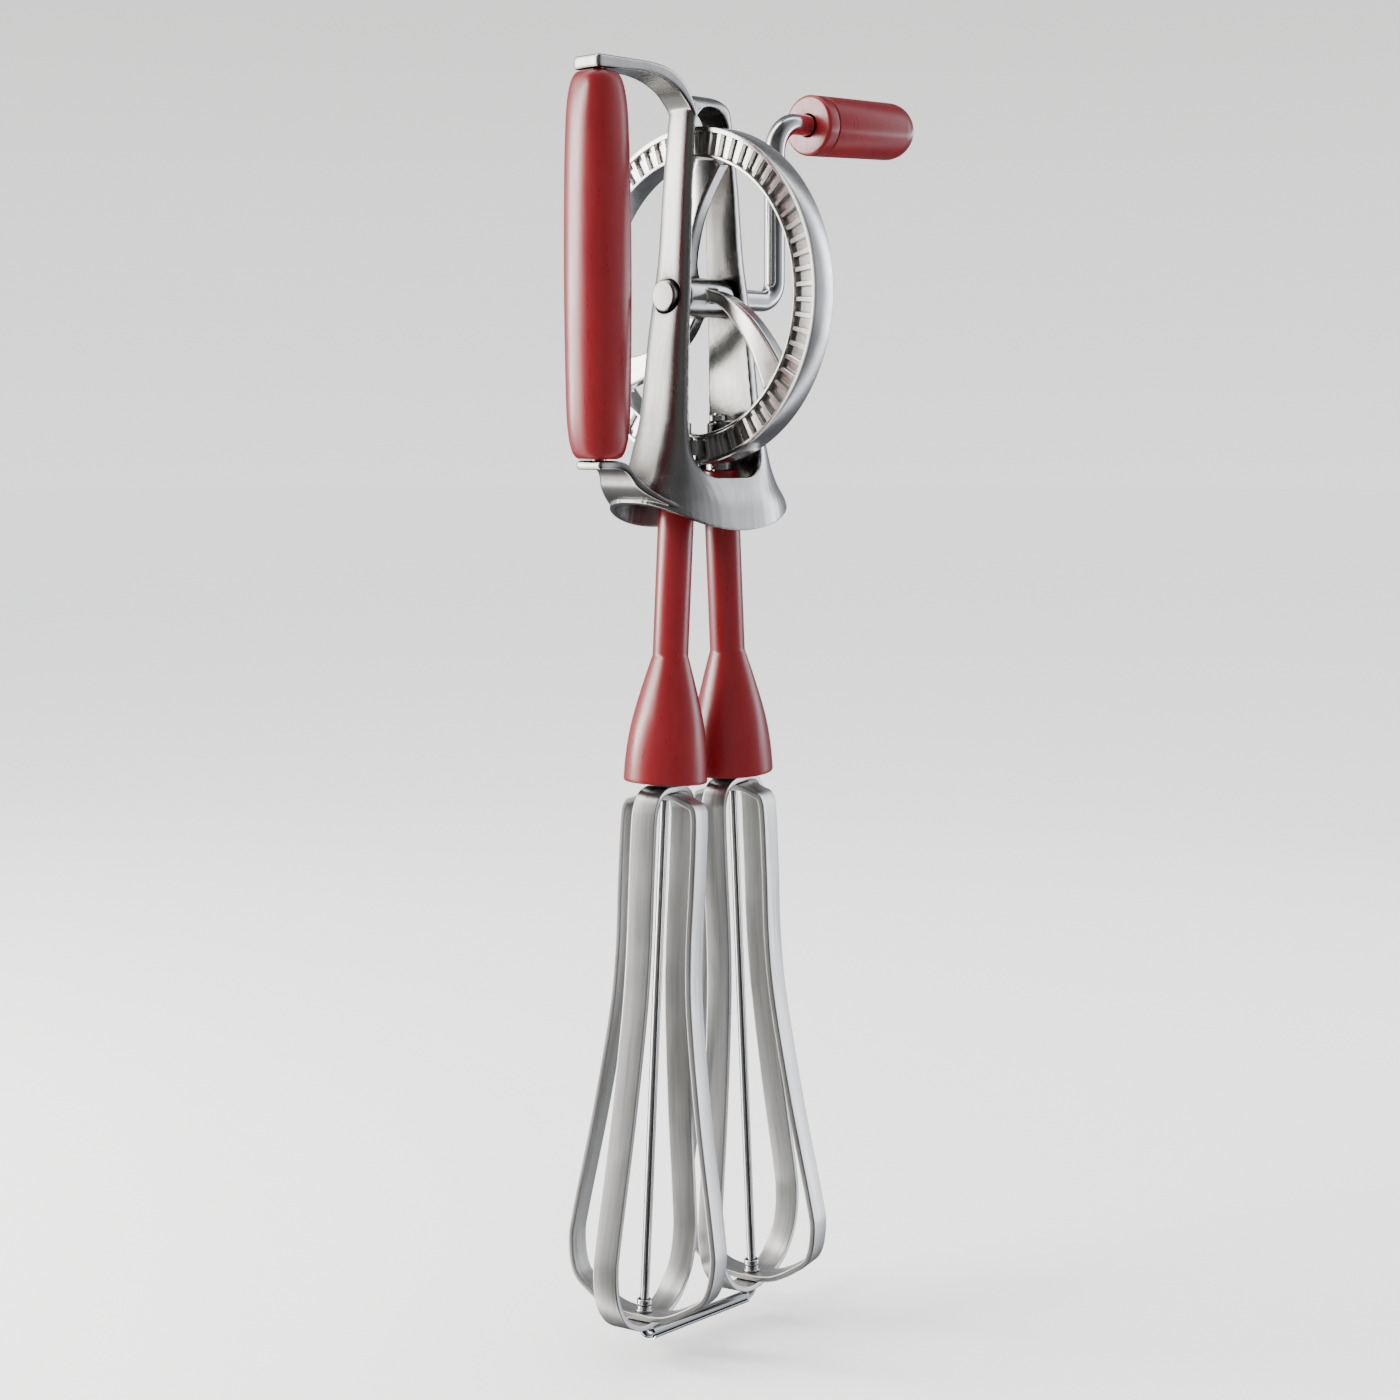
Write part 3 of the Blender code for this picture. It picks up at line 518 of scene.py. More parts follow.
class Nodes:
    """Short forms for building a node tree."""

    def __init__(self, tree):
        self.tree = tree

    def add(self, kind, settings=None, inputs=None):
        node = self.tree.nodes.new(kind)
        for key, value in (settings or {}).items():
            setattr(node, key, value)
        for key, value in (inputs or {}).items():
            self.feed(node, key, value)
        return node

    def feed(self, node, key, value):
        if isinstance(value, bpy.types.NodeSocket):
            self.tree.links.new(value, node.inputs[key])
        else:
            node.inputs[key].default_value = value

    def noise(self, vector, scale, detail=3.0, roughness=0.55):
        values = {"Vector": vector, "Scale": scale, "Detail": detail, "Roughness": roughness}
        return self.add("ShaderNodeTexNoise", None, values).outputs["Fac"]

    def stretched(self, source, scale):
        """Coordinates in millimetres, squeezed or stretched on each axis."""
        coords = self.add("ShaderNodeTexCoord").outputs[source]
        unit = 1.0 if source == "UV" else 1.0 / MM
        size = tuple(value * unit for value in scale)
        mapping = self.add("ShaderNodeMapping", None, {"Vector": coords, "Scale": size})
        return mapping.outputs["Vector"]

    def ramp(self, factor, stops):
        """Colour ramp from (position, grey or colour) stops."""
        node = self.add("ShaderNodeValToRGB", None, {"Fac": factor})
        elements = node.color_ramp.elements
        while len(elements) < len(stops):
            elements.new(0.5)
        for element, (position, value) in zip(elements, stops):
            element.position = position
            colour = value if isinstance(value, tuple) else (value, value, value)
            element.color = (*colour, 1.0)
        return node.outputs["Color"]

    def mix(self, factor, first, second, blend="MIX"):
        node = self.add("ShaderNodeMix", {"data_type": "RGBA", "blend_type": blend})
        self.feed(node, 0, factor)
        self.feed(node, 6, first if isinstance(first, bpy.types.NodeSocket) else (*first, 1.0))
        self.feed(node, 7, second if isinstance(second, bpy.types.NodeSocket) else (*second, 1.0))
        return node.outputs[2]

    def math(self, operation, *values):
        inputs = dict(enumerate(values))
        return self.add("ShaderNodeMath", {"operation": operation}, inputs).outputs["Value"]

    def bump(self, height, strength, distance):
        values = {"Height": height, "Strength": strength, "Distance": distance * MM}
        return self.add("ShaderNodeBump", None, values).outputs["Normal"]

    def crevices(self, distance):
        """Near 0 in corners and gaps, 1 in the open."""
        settings = {"samples": 6, "only_local": False}
        occlusion = self.add("ShaderNodeAmbientOcclusion", settings, {"Distance": distance * MM})
        return occlusion.outputs["AO"]

    def background(self, colour, strength):
        inputs = {"Color": colour, "Strength": strength}
        return self.add("ShaderNodeBackground", None, inputs).outputs["Background"]

    def choice(self, factor, first, second):
        inputs = {0: factor, 1: first, 2: second}
        return self.add("ShaderNodeMixShader", None, inputs).outputs["Shader"]


class Material(Nodes):
    """Node tree of a new material, with its surface shader."""

    def __init__(self, name):
        self.material = bpy.data.materials.new(name)
        self.material.use_nodes = True
        super().__init__(self.material.node_tree)
        self.shader = self.tree.nodes["Principled BSDF"]

    def set(self, key, value):
        self.feed(self.shader, key, value)


CLEAR = (1.0, 1.0, 1.0)
# Brown-grey of the painted shade in corners and gaps
CORNER_SHADE_TINT = (0.42, 0.38, 0.35)
# Dark bronze of the painted shade on inner faces
INNER_SHADE_TINT = (0.045, 0.041, 0.037)
RED_DEEP = (0.100, 0.0018, 0.0038)
RED_LIGHT = (0.120, 0.0026, 0.0050)
PLASTIC_IOR = 1.42


def metal(name, tint, rough, source, grain, stain, crevice, wear, bump, inner_shade_reach=None):
    """Worked metal: grain along one axis, cloudy stains, painted shade in corners.

    Rough is the lowest and highest roughness, source the kind of coordinates,
    grain their scale, stain the tint's share in stains and wear their
    strength.  Crevice and the last argument are the reach in millimetres of
    painted shade in corners and of painted dark bronze shade on inner faces.
    """
    nodes = Material(name)
    fine = nodes.noise(nodes.stretched(source, grain), 1.0, 6.0, 0.65)
    cloud = nodes.noise(nodes.stretched(source, (0.09, 0.09, 0.05)), 1.0, 4.0, 0.6)
    coarse = tuple(0.25 * scale + 0.01 for scale in grain)
    patch = nodes.noise(nodes.stretched(source, coarse), 1.0, 3.0, 0.7)
    dark = tuple(value * shade for value, shade in zip(tint, stain))
    stained = nodes.mix(nodes.ramp(patch, ((0.45, 0.0), (0.75, wear))), tint, dark)
    streaked = nodes.mix(nodes.ramp(fine, ((0.3, 0.0), (0.75, 0.5 * wear))), stained, dark)
    # Painted shade: the colour is darkened in corners and gaps that ambient occlusion finds
    painted_corner_shade = nodes.ramp(nodes.crevices(crevice), ((0.15, CORNER_SHADE_TINT), (0.60, CLEAR)))
    shaded = nodes.mix(1.0, streaked, painted_corner_shade, "MULTIPLY")
    # Painted shade: inner faces darkened to a bronze tone where ambient occlusion over a long reach finds other
    # parts
    if inner_shade_reach:
        painted_inner_shade = nodes.ramp(nodes.crevices(inner_shade_reach), ((0.50, INNER_SHADE_TINT), (0.90, CLEAR)))
        shaded = nodes.mix(1.0, shaded, painted_inner_shade, "MULTIPLY")
    nodes.set("Base Color", shaded)
    nodes.set("Metallic", 1.0)
    low, high = rough
    spread = nodes.math("ADD", nodes.math("MULTIPLY", fine, 0.5), nodes.math("MULTIPLY", cloud, 0.5))
    nodes.set("Roughness", nodes.ramp(spread, ((0.3, low), (0.7, high))))
    nodes.set("Normal", nodes.bump(fine, bump, 0.05))
    return nodes.material


def red_plastic(name):
    """Semi-gloss moulded plastic with a faint skin texture."""
    nodes = Material(name)
    coords = nodes.stretched("Object", (1.0, 1.0, 1.0))
    skin = nodes.noise(coords, 2.2, 3.0)
    cloud = nodes.noise(coords, 0.06, 3.0)
    scuffs = nodes.noise(nodes.stretched("Object", (0.6, 0.6, 0.08)), 1.0, 6.0, 0.7)
    mottled = nodes.ramp(cloud, ((0.3, 0.0), (0.7, 1.0)))
    nodes.set("Base Color", nodes.mix(mottled, RED_DEEP, RED_LIGHT))
    nodes.set("Roughness", nodes.ramp(scuffs, ((0.35, 0.27), (0.75, 0.36))))
    nodes.set("Normal", nodes.bump(skin, 0.08, 0.03))
    nodes.set("IOR", PLASTIC_IOR)
    return nodes.material


METALS = {
    "cast_metal": {
        "tint": (0.52, 0.51, 0.49),
        "rough": (0.17, 0.30),
        "source": "Object",
        "grain": (0.7, 0.7, 0.05),
        "stain": (0.62, 0.60, 0.58),
        "crevice": 2.4,
        "wear": 0.45,
        "bump": 0.04,
        # Reach of the painted shade on inner faces
        "inner_shade_reach": 22.0,
    },
    "wheel_metal": {
        "tint": (0.74, 0.73, 0.71),
        "rough": (0.16, 0.28),
        "source": "Object",
        "grain": (0.5, 0.5, 0.5),
        "stain": (0.55, 0.53, 0.51),
        "crevice": 0.9,
        "wear": 0.35,
        "bump": 0.06,
    },
    "rod_metal": {
        "tint": (0.74, 0.74, 0.74),
        "rough": (0.07, 0.15),
        "source": "Object",
        "grain": (0.5, 0.5, 0.2),
        "stain": (0.7, 0.7, 0.7),
        "crevice": 1.2,
        "wear": 0.2,
        "bump": 0.03,
    },
    "blade_steel": {
        "tint": (0.74, 0.735, 0.72),
        "rough": (0.28, 0.44),
        "source": "UV",
        "grain": (0.03, 1.8, 1.0),
        "stain": (0.48, 0.46, 0.43),
        "crevice": 1.6,
        "wear": 0.7,
        "bump": 0.10,
    },
}
MATERIALS = {name: metal(name, **look) for name, look in METALS.items()}
MATERIALS["red_plastic"] = red_plastic("red_plastic")
# The softboxes light the floor and the plastic; the metals mirror the studio.
LIT = bpy.data.collections.new("lit_by_softboxes")


# -------------------------------------------------------------- frame casting

def superellipse(angle, power):
    """Point of a unit superellipse; a power of 2 gives a circle."""
    cosine, sine = math.cos(angle), math.sin(angle)
    x = math.copysign(abs(cosine) ** (2.0 / power), cosine)
    y = math.copysign(abs(sine) ** (2.0 / power), sine)
    return x, y


def stadium(flat, width, depths, height, power, arc_steps):
    """Outline with flat sides along X and superelliptical ends."""
    points = []
    for sign, start, depth in ((1.0, -90.0, depths[0]), (-1.0, 90.0, depths[1])):
        for i in range(arc_steps + 1):
            across, along = superellipse(math.radians(start + 180.0 * i / arc_steps), power)
            points.append((sign * flat + depth * across, width * along, height))
    return points


def horn_rings(inset, arc_steps=31):
    """Sections of the cast horn, shrunk by the inset."""
    rings = []
    levels = smooth_line(HORN, HORN_STEPS)
    for height, flat, width, front, rear, power in levels:
        depths = (rear - inset, front - inset)
        rings.append(stadium(flat, width - inset, depths, height, power, arc_steps))
    flat, width, front, rear, power = levels[-1][1:]
    dome = HORN_TOP - HORN_DOME - inset
    for i in range(1, DOME_STEPS + 1):
        angle = math.radians(85.0 * i / DOME_STEPS)
        shrink = math.cos(angle)
        reach = flat * (0.35 + 0.65 * shrink)
        depths = ((rear - inset) * shrink, (front - inset) * shrink)
        height = HORN_DOME + dome * math.sin(angle)
        rings.append(stadium(reach, (width - inset) * shrink, depths, height, power, arc_steps))
    return rings


def crown_hollow():
    """Hollow of the flared crown, open below."""
    rings = horn_rings(WALL)
    inside = [ring for ring in rings if ring[0][2] < HOLLOW_TOP]
    floor = [(x, y, z - 1.0) for x, y, z in rings[0]]
    ceiling = [(x, y, HOLLOW_TOP) for x, y, z in rings[len(inside)]]
    return [floor] + inside + [ceiling]


def slot_outline():
    """Wheel slot in the XZ plane: rounded bottom, leg faces, arched top."""
    levels = [level for level in smooth_line(HORN, HORN_STEPS) if SLOT_FOOT < level[0] < SLOT_ARCH]
    foot = levels[0][1] + SLOT_MARGIN
    corner = abs(SLOT_BOTTOM - levels[0][0])
    side = arc((foot - corner, SLOT_BOTTOM + corner), corner, -90.0, 0.0, 12)
    side += [(level[1] + SLOT_MARGIN, level[0]) for level in levels[1:]]
    reach = side[-1][0]
    for i in range(1, ARCH_STEPS):
        angle = math.radians(90.0 * i / ARCH_STEPS)
        side.append((reach * math.cos(angle), SLOT_ARCH + (SLOT_TOP - SLOT_ARCH) * math.sin(angle)))
    side.append((0.0, SLOT_TOP))
    return side + [(-x, z) for x, z in reversed(side[:-1])]


def arm_rings(stations, corner=0.7, tip=0.8):
    """Sections of an arm: rounded rectangles, rounded off at the free end."""
    levels = smooth_line(stations, 6)
    end_x, upper_end, _, lower_end, end_half = levels[0]
    cuts = []
    for trim in (0.0, 0.3, 0.6):
        shrink = tip * (1.0 - math.sqrt(1.0 - (1.0 - trim) ** 2))
        x = end_x + trim * tip
        cuts.append(((x, upper_end, x, lower_end, end_half), shrink))
    cuts += [(level, 0.0) for level in levels if level[0] > end_x + tip]
    rings = []
    for (upper_x, upper_z, lower_x, lower_z, half), shrink in cuts:
        upper = Vector((upper_x, 0.0, upper_z - shrink))
        lower = Vector((lower_x, 0.0, lower_z + shrink))
        down = (lower - upper).normalized()
        cut = min(corner, 0.4 * (upper - lower).length)
        ring = []
        for edge, inward, first in (
            (upper, down, 90.0),
            (lower, -down, 0.0),
            (lower, -down, -90.0),
            (upper, down, -180.0),
        ):
            side = 1.0 if first >= 0.0 else -1.0
            for across, along in arc((0.0, 0.0), cut, first, first - 90.0, 4):
                point = edge + inward * cut - down * along
                ring.append((point.x, side * (half - shrink - cut) + across, point.z))
        rings.append(ring)
    return rings


def lug_tool(sign):
    """Lug that holds one top of the wire, running in from the leg."""
    low, high = LUG_Z
    tip = spindle_at((low + high) / 2.0, sign)
    outline = arc((abs(tip.x), 0.0), LUG_HALF, 90.0, 270.0, 20)
    outline += [(LUG_END, -LUG_HALF), (LUG_END, LUG_HALF)]
    place = Matrix.Translation((0.0, 0.0, tip.z))
    return prism([(sign * x, y) for x, y in outline], high - low, place)


def boss_tool(sign):
    """Boss round the axle on a leg's inner face, kept inside the casting."""
    face = HUB_HALF + 1.1
    boss = combine(
        cylinder(SPOT_FACE_R + BOSS_WALL, (sign * face, 0, 0), (sign * 20.0, 0, 0)),
        [("INTERSECT", loft(horn_rings(0.1)))],
    )
    bm = bmesh.new()
    bm.from_mesh(boss)
    return bm


def build_casting():
    upright = Matrix.Rotation(math.radians(90.0), 4, "X")
    skirt = arc((0.0, SKIRT_Z), SKIRT_R, -180.0, 0.0, 96) + [(SKIRT_R, BLOCK), (-SKIRT_R, BLOCK)]
    steps = [
        ("INTERSECT", prism(skirt, BLOCK, upright)),
        ("UNION", loft(arm_rings(UPPER_ARM))),
        ("UNION", loft(arm_rings(LOWER_ARM))),
        ("DIFFERENCE", loft(crown_hollow())),
        ("DIFFERENCE", prism(slot_outline(), BLOCK, upright)),
        ("UNION", boss_tool(-1.0)),
        ("UNION", boss_tool(1.0)),
        ("DIFFERENCE", cylinder(SPOT_FACE_R, (-25.0, 0, 0), (SPOT_FACE_X, 0, 0))),
        ("DIFFERENCE", cylinder(ROD_BORE, (-25.0, 0, 0), (25.0, 0, 0), 48)),
    ]
    for _, sign in SIDES:
        bore = cylinder(WIRE_BORE, spindle_at(-38.0, sign), spindle_at(-28.0, sign), 32)
        steps += [("UNION", lug_tool(sign)), ("DIFFERENCE", bore)]
    for arm in (UPPER_ARM, LOWER_ARM):
        top, bottom = arm[0][1] + 2.0, arm[0][3] - 2.0
        steps.append(("DIFFERENCE", cylinder(GRIP_BORE, (GRIP_X, 0, bottom), (GRIP_X, 0, top), 48)))
    mesh = soften(combine(loft(horn_rings(0.0)), steps), CAST_VOXEL, CAST_PASSES)
    add_piece("casting", mesh, FRAME_PLACE, "frame", "cast_metal", ["frame_casting"], 180.0)


# ----------------------------------------------------------------- grip, knob

def rounded_square(half, power, count=96):
    """Superellipse outline about the grip's axis."""
    outline = [superellipse(2.0 * math.pi * i / count, power) for i in range(count)]
    return [(half * x, half * y) for x, y in outline]


def build_grip():
    rings = []
    for height, half in smooth_line(GRIP_STATIONS, 6):
        rings.append([(x + GRIP_X, y, height) for x, y in rounded_square(half, GRIP_POWER)])
    bore = cylinder(GRIP_BORE, (GRIP_X, 0, -50), (GRIP_X, 0, 60), 48)
    mesh = combine(loft(rings), [("DIFFERENCE", bore)])
    add_piece("grip_moulding", mesh, FRAME_PLACE, "frame", "red_plastic", ["grip"], 50.0)


def build_knob():
    """Knob and its end ring, from the crank side outwards along the rod."""
    place = joint_place("knob_spin")
    far = KNOB_LENGTH - KNOB_TIP_R
    near = COLLAR_LENGTH + COLLAR_GAP
    dome = [(radius, height) for height, radius in arc((far, 0.0), KNOB_TIP_R, 0.0, 90.0, 24)]
    dome[0] = (0.0, KNOB_LENGTH)
    edge = arc((near + KNOB_EDGE, KNOB_R - KNOB_EDGE), KNOB_EDGE, 90.0, 180.0, 4)
    body = dome + [(radius, height) for height, radius in edge]
    body += [(RECESS_R, near), (RECESS_R, near + RECESS_DEPTH), (ROD_BORE, near + RECESS_DEPTH)]
    body += [(ROD_BORE, KNOB_BORE_END), (0.0, KNOB_BORE_END)]
    knob = to_mesh(revolve(body, 96, False))
    add_piece("knob_moulding", knob, place, "knob", "red_plastic", ["knob_body"])
    collar = rounded_corners(
        [(KNOB_R, COLLAR_LENGTH), (KNOB_R, 0.0), (ROD_BORE, 0.0), (ROD_BORE, COLLAR_LENGTH)],
        [KNOB_EDGE, 0.9, 0.3, 0.1],
    )
    add_piece("knob_end_ring", to_mesh(revolve(collar)), place, "knob", "red_plastic", ["knob_collar"])


# ---------------------------------------------------------------------- drive

def rim_profile(floor):
    """Half of the rim's section, (radius, offset), for a channel floor."""
    top = WHEEL_HALF
    outer = [(WHEEL_R, 0.0), (WHEEL_R, top - 0.45), (WHEEL_R - 0.12, top - 0.12), (WHEEL_R - 0.45, top)]
    outer += [(CHANNEL_OUT + 0.2, top), (CHANNEL_OUT + 0.05, top - 0.08), (CHANNEL_OUT, top - 0.25)]
    channel = [(CHANNEL_OUT - 0.02, floor), (CHANNEL_OUT - 0.3, floor)]
    channel += [(CHANNEL_IN + 0.3, floor), (CHANNEL_IN + 0.02, floor)]
    inner = [(CHANNEL_IN, top - 0.25), (CHANNEL_IN - 0.05, top - 0.08), (CHANNEL_IN - 0.2, top)]
    inner += [(RIM_IN + 0.3, top), (RIM_IN + 0.08, top - 0.1), (RIM_IN, top - 0.35), (RIM_IN, 0.0)]
    return outer + channel + inner


def build_rim():
    """Rim with bars across its channels, as one grid around the axle."""
    pitch = 2.0 * math.pi / WHEEL_TEETH
    half_bar = BAR_WIDTH / 2.0 / BAR_R
    edge = BAR_BEVEL / BAR_R
    stations = (
        (-0.5 * pitch, WEB_HALF),
        (-half_bar - edge, WEB_HALF),
        (-half_bar, BAR_HALF - BAR_CHAMFER),
        (-half_bar + edge, BAR_HALF),
        (half_bar - edge, BAR_HALF),
        (half_bar, BAR_HALF - BAR_CHAMFER),
        (half_bar + edge, WEB_HALF),
    )
    rows = []
    for tooth in range(WHEEL_TEETH):
        for offset, floor in stations:
            angle = (tooth + 0.5) * pitch + offset
            half = rim_profile(floor)
            section = half + [(r, -z) for r, z in reversed(half[1:-1])]
            rows.append([(r * math.cos(angle), r * math.sin(angle), z) for r, z in section])
    bm = bmesh.new()
    grid_skin(bm, rows, True, True)
    mesh = to_mesh(bm)
    add_piece("wheel_rim", mesh, joint_place("wheel_spin"), "drive", "wheel_metal", ["drive_wheel"], 28.0)


def spoke_outline():
    """Curved spoke that widens from the hub to the rim."""
    knots = ((-1.0, 1.0, 3.4), (0.6, -8.0, 3.2), (5.6, -15.6, 4.9), (12.0, -21.4, 6.2), (21.4, -27.2, 8.4))
    spine = smooth_line(knots, 8)
    left, right = [], []
    for i, (x, y, width) in enumerate(spine):
        before = spine[max(i - 1, 0)]
        after = spine[min(i + 1, len(spine) - 1)]
        along = Vector((after[0] - before[0], after[1] - before[1])).normalized()
        left.append((x - along.y * width / 2.0, y + along.x * width / 2.0))
        right.append((x + along.y * width / 2.0, y - along.x * width / 2.0))
    return left + list(reversed(right))


def build_spider():
    """Hub barrel, spokes and the ring that blends them into the rim."""
    outer, inner = RIM_IN + 0.7, RIM_IN + 0.05
    ring = [(outer, RING_HALF), (outer, -RING_HALF), (inner, -RING_HALF), (inner, RING_HALF)]
    steps = [("UNION", cylinder(HUB_R, (0, 0, -HUB_HALF), (0, 0, HUB_HALF)))]
    for angle in SPOKE_ANGLES:
        turn = Matrix.Rotation(math.radians(angle), 4, "Z")
        steps.append(("UNION", prism(spoke_outline(), SPOKE_THICK, turn)))
    steps.append(("DIFFERENCE", cylinder(ROD_BORE, (0, 0, -15.0), (0, 0, 15.0), 48)))
    mesh = soften(combine(revolve(ring, 128), steps), SPIDER_VOXEL, SPIDER_PASSES)
    add_piece("wheel_spider", mesh, joint_place("wheel_spin"), "drive", "wheel_metal", ["drive_wheel"], 180.0)


def build_crank():
    """Bent rod from the axle's cap to the knob, and the cap."""
    direction = Vector(JOINTS["knob_spin"]["axis"])
    rise = (KNOB_START.x - CRANK_X) * direction.z / direction.x
    corners = (
        (SPOT_FACE_X, 0.0, 0.0),
        (CRANK_X, 0.0, 0.0),
        (CRANK_X, 0.0, KNOB_START.z - rise),
        KNOB_START + direction * ROD_END_IN_KNOB,
    )
    add_rod("crank", bent_line(corners, ROD_BENDS), ROD_R, "drive", "rod_metal", ["crank_rod"], 10)
    turned = Matrix.Translation(AXLE) @ Matrix.Rotation(math.radians(-90.0), 4, "Y") @ Matrix.Scale(MM, 4)
    back = -SPOT_FACE_X + 0.3
    edge = arc((CAP_R - CAP_EDGE, back + CAP_HEIGHT - CAP_EDGE), CAP_EDGE, 0.0, 90.0, 6)
    cap = [(0.0, back + CAP_HEIGHT)] + list(reversed(edge)) + [(CAP_R, back), (0.0, back)]
    add_piece("axle_head", to_mesh(revolve(cap, 64, False)), turned, "drive", "cast_metal", ["axle_cap"])


# -------------------------------------------------------------------- beaters

def loop_path(drop):
    """Middle line of a blade loop; the drop nests it inside the other one."""
    knots = (
        (0.0, LOOP_TOP - drop), (4.0, -85.6 - drop), (7.6, -86.9 - drop), (9.6, -89.9), (10.3, -94.3),
        (10.4, -110.0), (10.3, -126.0), (11.3, -143.0), (15.2, -170.5), (20.0, -197.5), (20.9, -206.0),
        (19.2, -214.0), (14.6, -219.9 + drop), (8.6, -223.2 + drop), (4.0, -224.2 + drop),
        (0.0, LOOP_BOTTOM + drop),
    )
    half = smooth_line(knots, 9)
    return half + [(-radius, height) for radius, height in reversed(half[1:-1])]


def strip_section():
    """Rounded edges of the strip, as (thickness, width) offsets."""
    half_t, half_w = VANE_THICK / 2.0, VANE_WIDTH / 2.0
    corners = [(half_t, half_w), (-half_t, half_w), (-half_t, -half_w), (half_t, -half_w)]
    return rounded_corners(corners, [VANE_EDGE] * 4, 4)


def loop_mesh(drop, phase):
    """Closed steel strip; its UVs run along and across it in millimetres."""
    path = [Vector((radius, 0.0, height)) for radius, height in loop_path(drop)]
    section = strip_section()
    bm = bmesh.new()
    layer = bm.loops.layers.uv.new("along")
    rows, lengths, run = [], [0.0], 0.0
    count = len(path)
    for i, point in enumerate(path):
        along = (path[(i + 1) % count] - path[i - 1]).normalized()
        normal = Vector((along.z, 0.0, -along.x))
        rows.append([bm.verts.new(point + normal * t + Vector((0.0, w, 0.0))) for t, w in section])
        run += (path[(i + 1) % count] - point).length
        lengths.append(run)
    around = [0.0]
    for j, point in enumerate(section):
        after = section[(j + 1) % len(section)]
        around.append(around[-1] + math.dist(point, after))
    for i in range(count):
        lower, upper = rows[i], rows[(i + 1) % count]
        for j in range(len(section)):
            k = (j + 1) % len(section)
            face = bm.faces.new((lower[j], lower[k], upper[k], upper[j]))
            places = ((i, j), (i, j + 1), (i + 1, j + 1), (i + 1, j))
            for loop, (u, v) in zip(face.loops, places):
                loop[layer].uv = (lengths[u] + phase * 3.0, around[v] + phase)
    return bm


def build_loops(side, place):
    body = side + "_beater"
    for name, drop, turn in (("outer_loop_", 0.0, 0.0), ("inner_loop_", LOOP_SPACING, 90.0)):
        phase = VANE_PHASE[side] + turn
        holes = [
            ("DIFFERENCE", cylinder(TUBE_SEAT, (0, 0, -95.0), (0, 0, -80.0), 40)),
            ("DIFFERENCE", cylinder(LOOP_EYE_R, (0, 0, -230.0), (0, 0, -215.0), 40)),
        ]
        mesh = combine(loop_mesh(drop, phase), holes)
        mesh.transform(Matrix.Rotation(math.radians(phase), 4, "Z"))
        add_piece(name + "strip_" + side, mesh, place, body, "blade_steel", [name + side], 40.0)


def build_sleeve(side, place):
    """Red tube with its bell, drawn from the top down and back up inside."""
    top = [
        (SLEEVE_R - 0.4, SLEEVE_TOP),
        (SLEEVE_R - 0.1, -5.05),
        (SLEEVE_R, -5.4),
        (SLEEVE_R, -51.0),
        (SLEEVE_R + 0.02, -51.7),
    ]
    bell = (
        (SLEEVE_R + 0.15, -52.0), (6.5, -58.1), (7.95, -63.4), (9.2, -68.6),
        (10.0, -73.4), (10.5, -78.4), (10.7, -82.9),
    )
    lip = [(10.66, -83.3), (10.5, -83.6), (10.2, -83.75), (9.8, -83.75), (9.5, -83.6)]
    hollow = ((9.4, -83.2), (9.0, -79.0), (7.6, -73.0), (5.4, -69.0), (TUBE_SEAT, -67.0))
    profile = top + smooth_line(bell, 8) + lip + smooth_line(hollow, 5) + [(TUBE_SEAT, SLEEVE_TOP)]
    mesh = to_mesh(revolve(profile))
    body = side + "_beater"
    add_piece("sleeve_moulding_" + side, mesh, place, body, "red_plastic", ["sleeve_" + side], 24.0)


def build_small_turned(side, place):
    """Blade hub, eyelet and stop collar, with rounded edges."""
    body = side + "_beater"
    hub = rounded_corners(
        [(4.2, -79.6), (4.2, -83.0), (7.0, -83.0), (7.0, -84.4), (TUBE_SEAT, -84.4), (TUBE_SEAT, -79.6)],
        [0.4, 0.4, 0.4, 0.3, 0.1, 0.1],
    )
    add_piece("hub_disc_" + side, to_mesh(revolve(hub, 64)), place, body, "rod_metal", ["blade_hub_" + side])
    floor = LOOP_BOTTOM + LOOP_SPACING + VANE_THICK / 2.0
    top = floor + 1.6
    eyelet = rounded_corners(
        [
            (1.85, top), (1.85, floor + 0.65), (2.3, floor + 0.65), (2.3, floor + 0.25), (1.85, floor + 0.25),
            (1.85, -225.35), (2.6, -225.35), (2.6, -225.85), (WIRE_BORE, -225.85), (WIRE_BORE, top),
        ],
        [0.15, 0.05, 0.12, 0.1, 0.05, 0.05, 0.2, 0.2, 0.1, 0.15],
    )
    bush = to_mesh(revolve(eyelet, 48))
    add_piece("eyelet_bush_" + side, bush, place, body, "rod_metal", ["blade_eyelet_" + side])
    low = top + 0.3
    high = low + 1.4
    collar = rounded_corners(
        [(2.0, high), (2.0, low), (WIRE_BORE, low), (WIRE_BORE, high)],
        [0.45, 0.3, 0.1, 0.15],
    )
    ring = to_mesh(revolve(collar, 48))
    add_piece("wire_collar_" + side, ring, place, "frame", "rod_metal", ["stop_collar_" + side])


def build_wires():
    """U-shaped wire and the sleeve rolled round its bottom run."""
    top = LUG_Z[1] + 2.5
    corners = [
        spindle_at(top, -1.0),
        spindle_at(BRIDGE_Z, -1.0),
        spindle_at(BRIDGE_Z, 1.0),
        spindle_at(top, 1.0),
    ]
    path = bent_line(corners, (WIRE_BEND, WIRE_BEND))
    add_rod("u_wire", path, WIRE_R, "frame", "rod_metal", ["spindle_wire"], 6)
    inner, outer = BRIDGE_SLEEVE_R
    start, end = BRIDGE_SEAM
    section = arc((0.0, 0.0), outer, start, end, 40) + arc((0.0, 0.0), inner, end, start, 40)
    sleeve = to_mesh(prism(section, 2.0 * (corners[2].x - 3.0)))
    across = Matrix.Rotation(math.radians(90.0), 4, "Y")
    turned = FRAME_PLACE @ Matrix.Translation((0.0, 0.0, BRIDGE_Z)) @ across
    add_piece("rolled_sleeve", sleeve, turned, "frame", "rod_metal", ["bridge_sleeve"], 45.0)


